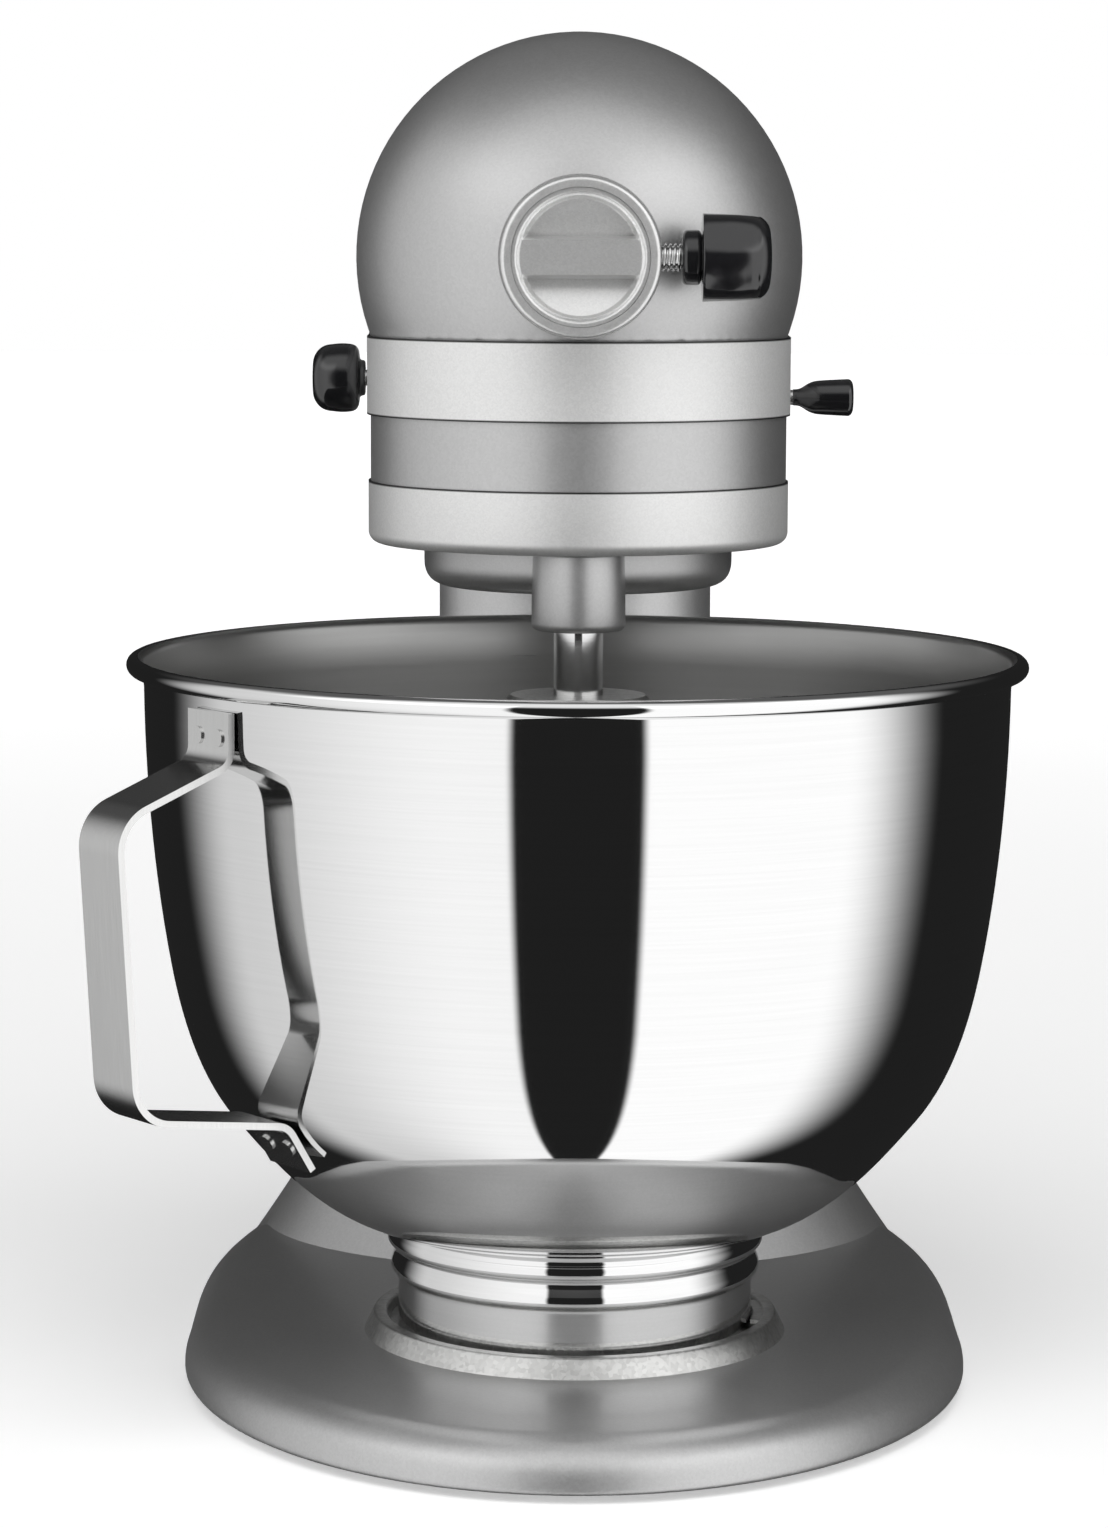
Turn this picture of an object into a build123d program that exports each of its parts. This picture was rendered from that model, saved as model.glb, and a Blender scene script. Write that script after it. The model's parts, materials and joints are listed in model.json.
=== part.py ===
from build123d import *
import os
from math import atan2, cos, degrees, hypot, pi, radians, sin, sqrt, tan

# Tilt-head stand mixer. Millimetres. +Z is up and the bench is z = 0. The origin is on the bowl's
# axis, which is also the axis of the planetary. The front, with the attachment hub, faces -Y, and
# the pedestal stands at +Y.

os.makedirs("parts", exist_ok=True)

# ---------------------------------------------------------------- driving dimensions

# fits
running_fit = 0.05      # radial clearance of a shaft in its bore
loose_fit = 0.3         # gap between faces of pieces that move past each other
seat_fit = 0.02         # radial clearance of a pressed or screwed piece

# stand
foot_height = 2.0       # the casting's rim stands this far above the bench
base_thickness = 13.5
base_half_width = 104.0
base_front = 113.5      # distance of the front edge ahead of the bowl's axis
base_rear = 200.0       # distance of the rear edge behind the bowl's axis
base_widest = 17.0      # where the base is widest, behind the bowl's axis
casting_wall = 4.0
neck_half_width = 40.0  # pedestal just under the head
neck_front = 124.0
neck_rear = 198.0
flare_half_width = 93.0
flare_law = 2.4         # how fast the pedestal narrows; higher is sooner
base_edge = 10.8        # rounding of the base's top edge
flare_front = 60.0

# bowl and its clamp
bowl_radius = 112.3     # outside, just under the rim
bowl_height = 148.5     # from the underside of the bowl to the top of the rim
bowl_wall = 0.9
rim_bead = 2.3          # radius of the rolled rim
bowl_floor_radius = 50.0
foot_radius = 46.6
foot_ring_height = 28.4
clamp_radius = 55.5
clamp_floor = 1.8
clamp_height = 5.0
lug_reach = 2.6
lug_thickness = 1.2
tab_count = 4
strap_width = 18.0
strap_thickness = 1.8
handle_azimuth = 217.4  # degrees from +X
handle_reach = 31.5     # strap's grip beyond the bowl's side

# head
head_bottom = 239.5     # underside of the lower housing above the bench
lower_height = 17.0     # plain lower section under the trim band
band_height = 20.0
band_proud = 0.9
axis_above_band = 20.2  # dome's axis above the top edge of the trim band
dome_radius = 57.3
dome_swell = 1.7        # extra radius at the widest place
swell_at = 75.0
cover_split = 188.0     # seam of the rear cover
tail_start = 196.0
tail_radius = 52.3
head_rear = 241.0
rear_corner = 38.0      # rounding between the flank and the rear end
shell_wall = 3.5
tilt_max = 45.0         # degrees
hinge_behind = 165.0    # hinge pin behind the bowl's axis
hinge_below = 27.5      # hinge pin under the head's underside
pin_radius = 6.0
lug_half_width = 22.0
knuckle_radius = 15.0
neck_gap = 1.0          # between the top of the pedestal and the head

# planetary
ring_teeth = 92
beater_teeth = 16
planet_module = 1.0
drip_radius = 54.2
drip_height = 16.0
carrier_radius = 39.8
carrier_height = 13.0
boss_radius = 11.8
boss_drop = 8.0
beater_shaft_radius = 6.2
planetary_shaft_radius = 8.0
bearing_radius = 13.0
bearing_width = 7.0

# whip
whip_radius = 40.0
wire_radius = 1.0
wire_loops = 6
ferrule_radius = 18.0
ferrule_height = 12.0
whip_floor_gap = 8.0
shaft_drop = 16.2       # length of beater shaft that shows between the boss and the ferrule

# gear train
centre_teeth = 60
drive_teeth = 15
drive_module = 1.2
wheel_teeth = 30
wheel_radius = 20.0
worm_radius = 6.6
bevel_module = 1.5
bevel_wheel_teeth = 40
bevel_pinion_teeth = 20
drive_hub_radius = 10.0  # the hub pinion's round boss, which runs in the hub bush
drive_square = 8.2
drive_square_depth = 11.5

# motor
motor_below_axis = 1.0
stator_radius = 40.0
stator_front = 95.0
stator_length = 55.0
core_radius = 23.5
motor_shaft_radius = 4.0

# attachment hub
hub_above_axis = 0.6
hub_radius = 19.6
hub_face = 72.0         # distance of the hub's face ahead of the bowl's axis
hub_boss_face = 56.0
hub_bore = 12.7
cap_radius = 16.8
cap_recess = 6.0
knob_radius = 11.4

# side controls
speed_at = 45.0
speed_travel = 28.0
lock_at = 100.0
lock_travel = 12.0
bolt_drop = 8.0

# ---------------------------------------------------------------- levels worked out

base_top = foot_height + base_thickness
clamp_seat = base_top + clamp_floor
foot_bottom = clamp_seat + loose_fit
bowl_bottom = foot_bottom + foot_ring_height
rim_top = bowl_bottom + bowl_height
rim_level = rim_top - rim_bead

band_bottom = head_bottom + lower_height
band_top = band_bottom + band_height
parting = (band_bottom + band_top) / 2
dome_axis = band_top + axis_above_band
hub_level = dome_axis + hub_above_axis
motor_level = dome_axis - motor_below_axis
inside_floor = head_bottom + shell_wall

# the rear end is a sphere about a point on the dome's axis, tangent to the rounded corner
tail_length = head_rear - tail_start
corner_rise = tail_radius - rear_corner
rear_dome = (tail_length ** 2 + corner_rise ** 2 - rear_corner ** 2) / (tail_length - rear_corner) / 2
rear_centre = head_rear - rear_dome
rear_angle = degrees(atan2(corner_rise, tail_start - rear_centre))

hinge_level = head_bottom - hinge_below
neck_top = head_bottom - neck_gap

drip_bottom = head_bottom - drip_height
carrier_top = drip_bottom + 1.5
carrier_bottom = carrier_top - carrier_height
boss_bottom = carrier_bottom - boss_drop
planet_offset = (ring_teeth - beater_teeth) / 2 * planet_module
ferrule_top = boss_bottom - shaft_drop
ferrule_bottom = ferrule_top - ferrule_height
whip_bottom = bowl_bottom + bowl_wall + whip_floor_gap

drive_distance = (centre_teeth + drive_teeth) / 2 * drive_module
wheel_x = -(wheel_radius + worm_radius + 0.4)
wheel_y = sqrt(drive_distance ** 2 - wheel_x ** 2)
centre_gear_level = inside_floor + 19.0
centre_gear_width = 8.0


# ---------------------------------------------------------------- shared shapes

def head_form(inset):
    """The head's outer form, or its hollow when inset is the wall: a dome of revolution whose
    section at the trim band's top edge is carried straight down to the underside."""
    nose = dome_radius - inset
    with BuildPart() as form:
        with BuildSketch(Plane.YZ):
            with BuildLine():
                front = CenterArc((0, dome_axis), nose, 90, 90)
                flank = Spline(
                    (0, dome_axis + nose),
                    (swell_at, dome_axis + nose + dome_swell),
                    (tail_start, dome_axis + tail_radius - inset),
                    tangents=((1, 0), (1, 0)),
                )
                CenterArc(
                    (tail_start, dome_axis + tail_radius - rear_corner), rear_corner - inset,
                    rear_angle, 90 - rear_angle,
                )
                tail = CenterArc((rear_centre, dome_axis), rear_dome - inset, 0, rear_angle)
                Line(front @ 1, tail @ 0)
            make_face()
        revolve(axis=Axis((0, 0, dome_axis), (0, 1, 0)))
        split(bisect_by=Plane.XY.offset(band_top), keep=Keep.TOP)
        cut_face = form.faces().filter_by(Plane.XY).sort_by(Axis.Z)[0]
        extrude(cut_face, amount=band_top - head_bottom - inset)
    return form.part


def toothed_disc(teeth, module, play=0.2):
    """A spur gear's outline with straight-sided teeth; play is the share of a tooth's width that
    is left free, and the first tooth stands on +X."""
    pitch = teeth * module / 2
    half = pi * module / 4 * (1 - play)
    root = pitch - 1.2 * module
    tip = pitch + 0.85 * module
    slope = tan(radians(20)) * module
    with BuildSketch() as outline:
        Circle(root)
        with PolarLocations(0, teeth):
            with BuildLine():
                Polyline(
                    (root - 0.3, -half - slope), (tip, -half + 0.85 * slope),
                    (tip, half - 0.85 * slope), (root - 0.3, half + slope), close=True,
                )
            make_face()
    return outline.sketch


def ring_outline(teeth, module, rim, play=0.2):
    """An internal gear's outline with straight-sided teeth; the first gap is on +X."""
    pitch = teeth * module / 2
    half = pi * module / 4 * (1 - play)
    root = pitch + 1.2 * module
    tip = pitch - 0.8 * module
    slope = tan(radians(20)) * module
    with BuildSketch() as outline:
        Circle(rim)
        Circle(root, mode=Mode.SUBTRACT)
        with PolarLocations(0, teeth, start_angle=180 / teeth):
            with BuildLine():
                Polyline(
                    (root + 0.3, -half - slope), (tip, -half + 0.8 * slope),
                    (tip, half - 0.8 * slope), (root + 0.3, half + slope), close=True,
                )
            make_face()
    return outline.sketch


def neck_section(share):
    """Half width, front and rear of the pedestal, share of the way up from the base to its top."""
    drop = 1 - share
    half_width = neck_half_width + (flare_half_width - neck_half_width) * drop ** flare_law
    front = neck_front - (neck_front - flare_front) * drop ** flare_law
    return half_width, front, neck_rear


def pedestal_form(inset, top):
    """The pedestal's flaring form, or its hollow when inset is the wall."""
    low = base_top - casting_wall
    flare_top = hinge_level - 30.0
    with BuildPart() as form:
        for share in (0, 0.06, 0.14, 0.26, 0.42, 0.65, 1):
            half_width, front, rear = neck_section(share)
            with BuildSketch(Plane.XY.offset(low + share * (flare_top - low))):
                with Locations((0, (front + rear) / 2)):
                    Ellipse(half_width - inset, (rear - front) / 2 - inset)
        loft()
        extrude(form.faces().sort_by(Axis.Z)[-1], amount=top - flare_top)
    return form.part


def base_plan(inset):
    """The base's egg-shaped plan: an ellipse in front and a fuller curve round the rear."""
    side = base_half_width - inset
    with BuildSketch() as plan:
        with BuildLine():
            nose = EllipticalCenterArc(
                (0, base_widest), side, base_front + base_widest - inset,
                start_angle=-90, arc_size=90,
            )
            Spline(
                nose @ 1,
                (0.985 * side, base_widest + 0.42 * (base_rear - base_widest)),
                (0.68 * side, base_widest + 0.9 * (base_rear - base_widest)),
                (0, base_rear - inset),
                tangents=((0, 1), (-1, 0)),
            )
            Line((0, base_rear - inset), nose @ 0)
        make_face()
        mirror(about=Plane.YZ)
    return plan.sketch


outer_head = head_form(0)
inner_head = head_form(shell_wall)
hinge = Plane((0, hinge_behind, hinge_level), x_dir=(0, 1, 0), z_dir=(1, 0, 0))

# ---------------------------------------------------------------- stand

clamp_screw_circle = 0.62 * foot_radius
bolt_y = neck_front + 10.0
height_screw_x = 0.4 * neck_half_width
foot_radius_rubber = 9.0
foot_stem = 5.0
foot_grip = 6.0
foot_inset = casting_wall + 6.5 + foot_radius_rubber
front_foot_y = base_widest - (base_front + base_widest - foot_inset) * cos(radians(45))
front_foot_x = (base_half_width - foot_inset) * sin(radians(45))
side_foot_x = 0.97 * base_half_width - foot_inset
side_foot_y = base_widest + 0.3 * (base_rear - base_widest)
foot_places = (
    (front_foot_x, front_foot_y), (-front_foot_x, front_foot_y), (side_foot_x, side_foot_y),
    (-side_foot_x, side_foot_y), (0, base_rear - foot_inset),
)

with BuildPart() as base_casting:
    with BuildSketch(Plane.XY.offset(foot_height)):
        add(base_plan(0))
    extrude(amount=base_thickness)
    fillet(base_casting.faces().sort_by(Axis.Z)[-1].edges(), radius=base_edge)
    fillet(base_casting.faces().sort_by(Axis.Z)[0].edges(), radius=2.0)
    add(pedestal_form(0, neck_top))
    # hollow underside and hollow pedestal
    with BuildSketch(Plane.XY.offset(foot_height)):
        add(base_plan(casting_wall + 6.0))
    extrude(amount=base_thickness - casting_wall, mode=Mode.SUBTRACT)
    slot_front = hinge_behind - knuckle_radius - 6.0
    slot_floor = hinge_level - knuckle_radius - 2.0
    add(pedestal_form(casting_wall, slot_floor - casting_wall), mode=Mode.SUBTRACT)
    # slot for the head's hinge lug, open at the top and the rear
    with BuildSketch(Plane.XY.offset(slot_floor)):
        with Locations((0, (slot_front + base_rear + 10) / 2)):
            Rectangle(2 * (lug_half_width + 0.5), base_rear + 10 - slot_front)
    extrude(amount=neck_top - slot_floor + 1, mode=Mode.SUBTRACT)
    with BuildSketch(hinge):
        Circle(pin_radius + seat_fit)
    extrude(amount=base_half_width, both=True, mode=Mode.SUBTRACT)
    # the top falls away to the rear, under the sweep of the tilting head
    for turn in (0, tilt_max / 2, tilt_max):
        slope = (0, sin(radians(turn)), cos(radians(turn)))
        reach = hinge_below - neck_gap
        top_point = (0, hinge_behind + reach * slope[1], hinge_level + reach * slope[2])
        split(bisect_by=Plane(top_point, x_dir=(1, 0, 0), z_dir=slope), keep=Keep.BOTTOM)
    # bosses for the feet, and sockets for the lock bolt, height screw and clamp plate screws
    with BuildSketch(Plane.XY.offset(foot_height + 1)):
        with Locations(*foot_places):
            Circle(foot_radius_rubber + 1.5)
    extrude(amount=base_thickness - casting_wall)
    with BuildSketch(Plane.XY.offset(foot_height)):
        with Locations(*foot_places):
            Circle(foot_stem + seat_fit)
    extrude(amount=foot_grip, mode=Mode.SUBTRACT)
    with Locations(Plane((0, bolt_y, neck_top))):
        Hole(3.3, depth=bolt_drop + 2.0)
    with Locations(Plane((height_screw_x, bolt_y + 2.0, neck_top))):
        Hole(3.0 + seat_fit, depth=14.0)
    with Locations(Plane.XY.offset(base_top)):
        with PolarLocations(clamp_screw_circle, 3, start_angle=90):
            Hole(2.5 + seat_fit, depth=base_thickness)

with BuildPart() as rubber_feet:
    with BuildSketch():
        with Locations(*foot_places):
            Circle(foot_radius_rubber)
    extrude(amount=foot_height + 1)
    with BuildSketch(Plane.XY.offset(foot_height + 1)):
        with Locations(*foot_places):
            Circle(foot_stem)
    extrude(amount=foot_grip - 1.5)

# clamp plate: a low dish whose four inward tabs hold the bowl's lugs
clamp_inner = foot_radius + lug_reach + loose_fit
clamp_top = base_top + clamp_height
lug_top = foot_bottom + lug_thickness


def ring_sectors(inner, outer, spread, count, first):
    """Sectors of a ring, each spread degrees wide, the first one centred first degrees from +X."""
    reach = 2 * outer
    with BuildSketch() as sectors:
        Circle(outer)
        Circle(inner, mode=Mode.SUBTRACT)
        with BuildSketch(mode=Mode.INTERSECT):
            with PolarLocations(0, count, start_angle=first):
                with BuildLine():
                    side = reach * tan(radians(spread / 2))
                    Polyline((0, 0), (reach, -side), (reach, side), close=True)
                make_face()
    return sectors.sketch


with BuildPart() as bowl_clamp_plate:
    with BuildSketch(Plane.XZ):
        with BuildLine():
            Polyline(
                (0, base_top), (clamp_radius, base_top), (clamp_radius - 2.5, clamp_top),
                (clamp_inner, clamp_top), (clamp_inner, clamp_seat), (0, clamp_seat), close=True,
            )
        make_face()
    revolve(axis=Axis.Z)
    fillet(bowl_clamp_plate.edges().filter_by(GeomType.CIRCLE).group_by(Axis.Z)[-1], radius=0.8)
    with BuildSketch(Plane.XY.offset(lug_top + loose_fit)):
        add(ring_sectors(foot_radius + 2 * loose_fit, clamp_inner + 0.5, 26, tab_count, 45))
    extrude(amount=clamp_top - lug_top - loose_fit - 0.4)
    with Locations(Plane.XY.offset(clamp_seat)):
        with PolarLocations(clamp_screw_circle, 3, start_angle=90):
            Hole(2.5 + seat_fit, depth=clamp_floor + 1)

with BuildPart() as clamp_plate_screws:
    with BuildSketch(Plane.XY.offset(clamp_seat)):
        with PolarLocations(clamp_screw_circle, 3, start_angle=90):
            Circle(4.5)
    extrude(amount=2.2)
    chamfer(clamp_plate_screws.faces().sort_by(Axis.Z)[-3:].edges(), length=0.8)
    with BuildSketch(Plane.XY.offset(clamp_seat)):
        with PolarLocations(clamp_screw_circle, 3, start_angle=90):
            Circle(2.5)
    extrude(amount=-(clamp_floor + casting_wall + 1.0))

with BuildPart() as hinge_pin:
    with BuildSketch(hinge):
        Circle(pin_radius)
    extrude(amount=neck_half_width - 3.0, both=True)
    chamfer(hinge_pin.edges(), length=0.8)

with BuildPart() as head_height_screw:
    with BuildSketch(Plane((height_screw_x, bolt_y + 2.0, neck_top - 1.5))):
        Circle(3.0)
        RegularPolygon(1.5, 6, mode=Mode.SUBTRACT)
    extrude(amount=-3.0)
    with BuildSketch(Plane((height_screw_x, bolt_y + 2.0, neck_top - 4.5))):
        Circle(3.0)
    extrude(amount=-9.0)

# ---------------------------------------------------------------- head shells

speed_level = parting - 2.5
lock_level = band_bottom + 0.5
ring_rim = ring_teeth * planet_module / 2 + 4.0
boss_wall = 4.0
planetary_boss_height = 2 * bearing_width + 2.0
side_inner = sqrt((dome_radius - shell_wall) ** 2 - axis_above_band ** 2)
side_outer = sqrt(dome_radius ** 2 - axis_above_band ** 2)
spindle_radius = 4.0
bracket_y = 62.0
bracket_screw_places = ((-30.0, bracket_y + 10.0), (30.0, bracket_y + 10.0))
brush_y = 172.0
cap_stem = 8.0


def side_slot(level, start, end, height, side):
    """A slot's cutting box in the head's side wall, side -1 for -X and 1 for +X."""
    with BuildPart() as cutter:
        with BuildSketch(Plane.XY.offset(level - height / 2)):
            with Locations((side * (side_outer + 2), (start + end) / 2)):
                Rectangle(3 * shell_wall + 6, end - start)
        extrude(amount=height)
    return cutter.part


speed_slot = side_slot(speed_level, speed_at - 3, speed_at + speed_travel + 3, 5.2, -1)
lock_slot = side_slot(lock_level, lock_at - 3, lock_at + lock_travel + 3, 4.8, 1)

with BuildPart() as lower_housing:
    add(outer_head)
    split(bisect_by=Plane.XY.offset(parting), keep=Keep.BOTTOM)
    split(bisect_by=Plane.XZ.offset(-cover_split), keep=Keep.TOP)
    add(inner_head, mode=Mode.SUBTRACT)
    # hinge lug under the floor
    with BuildSketch(hinge):
        Circle(knuckle_radius)
        with Locations((0, hinge_below / 2)):
            Rectangle(2 * knuckle_radius, hinge_below)
    extrude(amount=lug_half_width, both=True)
    # boss that carries the planetary shaft's bearings
    with BuildSketch(Plane.XY.offset(head_bottom)):
        Circle(bearing_radius + boss_wall)
    extrude(amount=shell_wall + planetary_boss_height)
    with Locations(Plane.XY.offset(head_bottom)):
        Hole(bearing_radius + seat_fit)
    with BuildSketch(hinge):
        Circle(pin_radius + running_fit)
    extrude(amount=lug_half_width + 1, both=True, mode=Mode.SUBTRACT)
    with Locations(Plane((0, bolt_y, inside_floor))):
        Hole(3.0 + running_fit)
    with Locations(Plane((wheel_x, wheel_y, inside_floor))):
        Hole(spindle_radius + seat_fit)
    with Locations(Plane.XY.offset(inside_floor)):
        with Locations(*bracket_screw_places):
            Hole(2.0 + seat_fit)
    add(speed_slot, mode=Mode.SUBTRACT)
    add(lock_slot, mode=Mode.SUBTRACT)

hub_plane = Plane((0, 0, hub_level), x_dir=(1, 0, 0), z_dir=(0, -1, 0))
sleeve_radius = hub_bore + 3.5
sleeve_end = 34.0

with BuildPart() as upper_housing:
    add(outer_head)
    split(bisect_by=Plane.XY.offset(parting), keep=Keep.TOP)
    split(bisect_by=Plane.XZ.offset(-cover_split), keep=Keep.TOP)
    with BuildSketch(hub_plane.offset(sleeve_end + 6)):
        Circle(hub_radius + 0.6)
    extrude(amount=hub_boss_face - sleeve_end - 6)
    add(inner_head, mode=Mode.SUBTRACT)
    with BuildSketch(hub_plane):
        Circle(sleeve_radius + seat_fit)
    extrude(amount=hub_face, mode=Mode.SUBTRACT)
    with BuildSketch(Plane((0, brush_y, motor_level), z_dir=(1, 0, 0))):
        Circle(cap_stem + seat_fit)
    extrude(amount=dome_radius + 10, both=True, mode=Mode.SUBTRACT)

cord_inlet_radius = 6.0
cord_inlet_level = head_bottom + 8.5
cord_inlet_x = -22.0
cover_screw_rise = 20.0
cover_screw_level = dome_axis + cover_screw_rise

with BuildPart() as rear_cover:
    add(outer_head)
    split(bisect_by=Plane.XZ.offset(-cover_split), keep=Keep.BOTTOM)
    add(inner_head, mode=Mode.SUBTRACT)
    with BuildSketch(Plane((0, head_rear, cover_screw_level), z_dir=(0, 1, 0))):
        Circle(2.0 + seat_fit)
    extrude(amount=-30, mode=Mode.SUBTRACT)
    with BuildSketch(Plane((cord_inlet_x, head_rear, cord_inlet_level), z_dir=(0, 1, 0))):
        Circle(cord_inlet_radius + seat_fit)
    extrude(amount=-20, mode=Mode.SUBTRACT)

with BuildPart() as trim_band:
    add(head_form(-band_proud))
    split(bisect_by=Plane.XY.offset(band_top), keep=Keep.BOTTOM)
    split(bisect_by=Plane.XY.offset(band_bottom), keep=Keep.TOP)
    add(outer_head, mode=Mode.SUBTRACT)
    add(speed_slot, mode=Mode.SUBTRACT)
    add(lock_slot, mode=Mode.SUBTRACT)

with BuildPart() as drip_ring:
    with BuildSketch(Plane.XY.offset(drip_bottom)):
        Circle(drip_radius)
        Circle(ring_rim + seat_fit, mode=Mode.SUBTRACT)
    extrude(amount=drip_height)
    with BuildSketch(Plane.XY.offset(drip_bottom)):
        Circle(drip_radius)
        Circle(ring_teeth * planet_module / 2 - 1.0, mode=Mode.SUBTRACT)
    extrude(amount=1.6)
    fillet(drip_ring.edges().filter_by(GeomType.CIRCLE).group_by(Axis.Z)[0].sort_by(
        SortBy.RADIUS)[-1], radius=3.0)

with BuildPart() as ring_gear:
    with BuildSketch(Plane.XY.offset(drip_bottom + 1.6)):
        add(ring_outline(ring_teeth, planet_module, ring_rim))
    extrude(amount=drip_height - 1.6)

cover_screw_head = 3.8
cover_screw_seat = rear_centre + sqrt(rear_dome ** 2 - (cover_screw_rise - cover_screw_head) ** 2)

with BuildPart() as rear_cover_screw:
    with BuildSketch(Plane((0, cover_screw_seat, cover_screw_level), z_dir=(0, 1, 0))):
        Circle(cover_screw_head)
    extrude(amount=1.8)
    fillet(rear_cover_screw.faces().sort_by(Axis.Y)[-1].edges(), radius=1.0)
    with BuildSketch(Plane((0, cover_screw_seat, cover_screw_level), z_dir=(0, 1, 0))):
        Circle(2.0)
    extrude(amount=-14)

barrel_inner_end = sleeve_end + 7.0
recess_radius = cap_radius + 2 * running_fit
recess_floor = hub_face - cap_recess
thumb_y = -(recess_floor - 4.0)
thumb_radius = 3.2
thumb_plane = Plane((0, thumb_y, hub_level), x_dir=(0, 1, 0), z_dir=(1, 0, 0))

with BuildPart() as hub_barrel:
    with BuildSketch(hub_plane.offset(sleeve_end)):
        Circle(sleeve_radius)
    extrude(amount=hub_boss_face - sleeve_end)
    with BuildSketch(hub_plane.offset(hub_boss_face)):
        Circle(hub_radius)
    extrude(amount=hub_face - hub_boss_face)
    fillet(hub_barrel.faces().sort_by(Axis.Y)[0].edges(), radius=1.2)
    with BuildSketch(hub_plane.offset(recess_floor)):
        Circle(recess_radius)
    extrude(amount=cap_recess, mode=Mode.SUBTRACT)
    with BuildSketch(hub_plane.offset(barrel_inner_end)):
        Circle(hub_bore)
    extrude(amount=recess_floor - barrel_inner_end, mode=Mode.SUBTRACT)
    with BuildSketch(hub_plane.offset(sleeve_end)):
        Circle(hub_bore - 1.2)
    extrude(amount=barrel_inner_end - sleeve_end, mode=Mode.SUBTRACT)
    with BuildSketch(thumb_plane):
        Circle(thumb_radius + running_fit)
    extrude(amount=hub_radius + 1, mode=Mode.SUBTRACT)

with BuildPart() as hub_bush:
    with BuildSketch(hub_plane.offset(sleeve_end)):
        Circle(hub_bore - 1.2 - seat_fit)
        Circle(drive_hub_radius + running_fit, mode=Mode.SUBTRACT)
    extrude(amount=barrel_inner_end - sleeve_end - 1)

# ---------------------------------------------------------------- planetary and whip

beater_axis = (0, -planet_offset)
pinion_seat_radius = 4.5

with BuildPart() as planetary_carrier:
    with BuildSketch(Plane.XY.offset(carrier_bottom)):
        Circle(carrier_radius)
    extrude(amount=carrier_height)
    fillet(planetary_carrier.faces().sort_by(Axis.Z)[0].edges(), radius=4.0)
    with BuildSketch(Plane.XY.offset(boss_bottom)):
        with Locations(beater_axis):
            Circle(boss_radius)
    extrude(amount=boss_drop + carrier_height - 4.0)
    fillet(planetary_carrier.faces().sort_by(Axis.Z)[0].edges(), radius=2.5)
    with BuildSketch(Plane.XY.offset(carrier_bottom + 5.0)):
        Circle(carrier_radius - casting_wall)
        Circle(planetary_shaft_radius + 6.0, mode=Mode.SUBTRACT)
        with Locations(beater_axis):
            Circle(boss_radius + 1.0, mode=Mode.SUBTRACT)
    extrude(amount=carrier_height, mode=Mode.SUBTRACT)
    with Locations(Plane.XY.offset(carrier_top)):
        Hole(planetary_shaft_radius + seat_fit)
        with Locations(beater_axis):
            Hole(beater_shaft_radius + running_fit)

bevel_wheel_radius = bevel_wheel_teeth * bevel_module / 2
bevel_pinion_radius = bevel_pinion_teeth * bevel_module / 2
bevel_distance = hypot(bevel_wheel_radius, bevel_pinion_radius)
bevel_inner = 0.72      # share of the cone at the teeth's inner ends
shaft_top = hub_level - bevel_pinion_radius + 1.5

with BuildPart() as planetary_shaft:
    with BuildSketch(Plane.XY.offset(carrier_bottom + 1.0)):
        Circle(planetary_shaft_radius)
    extrude(amount=shaft_top - carrier_bottom - 1.0)
    chamfer(planetary_shaft.edges(), length=0.8)

with BuildPart() as planetary_bearings:
    for level in (head_bottom + 1.0, head_bottom + bearing_width + 4.5):
        with BuildSketch(Plane.XY.offset(level)):
            Circle(bearing_radius)
            Circle(planetary_shaft_radius + running_fit, mode=Mode.SUBTRACT)
        extrude(amount=bearing_width)


def bevel_tooth(side):
    """One straight bevel tooth at the wheel and pinion's line of contact, which runs from their
    common apex; side 1 stands up from the wheel and -1 from the pinion."""
    half = pi * bevel_module / 4 * 0.62
    slope = tan(radians(20)) * bevel_module
    run = (0, -bevel_wheel_radius / bevel_distance, -bevel_pinion_radius / bevel_distance)
    with BuildPart() as tooth:
        for share in (1, bevel_inner):
            reach = share * bevel_distance
            place = (0, run[1] * reach, hub_level + run[2] * reach)
            with BuildSketch(Plane(place, x_dir=(1, 0, 0), z_dir=run)):
                with BuildLine():
                    low = -1.35 * bevel_module * share * side
                    high = 0.8 * bevel_module * share * side
                    wide = (half + 1.35 * slope) * share
                    narrow = (half - 0.8 * slope) * share
                    Polyline((-wide, low), (wide, low), (narrow, high), (-narrow, high), close=True)
                make_face()
        loft()
    return tooth.part


wheel_root = 1.2 * bevel_module / bevel_distance

with BuildPart() as centre_gear:
    with BuildSketch(Plane.XY.offset(centre_gear_level)):
        add(toothed_disc(centre_teeth, drive_module))
    extrude(amount=centre_gear_width)
    with BuildSketch(Plane.XZ):
        with BuildLine():
            outer_r = bevel_wheel_radius - wheel_root * bevel_pinion_radius
            outer_z = hub_level - bevel_pinion_radius - wheel_root * bevel_wheel_radius
            inner_r = bevel_inner * outer_r
            inner_z = hub_level + bevel_inner * (outer_z - hub_level)
            gear_top = centre_gear_level + centre_gear_width
            Polyline(
                (0, gear_top - 1), (outer_r, gear_top - 1), (outer_r, outer_z), (inner_r, inner_z),
                (inner_r - 3, inner_z - 4), (planetary_shaft_radius + 5, inner_z - 4),
                (planetary_shaft_radius + 5, shaft_top - 1), (0, shaft_top - 1), close=True,
            )
        make_face()
    revolve(axis=Axis.Z)
    wheel_tooth = bevel_tooth(1)
    for k in range(bevel_wheel_teeth):
        add(wheel_tooth.rotate(Axis.Z, 360 / bevel_wheel_teeth * k))
    with Locations(Plane.XY.offset(shaft_top)):
        Hole(planetary_shaft_radius + seat_fit)

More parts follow.
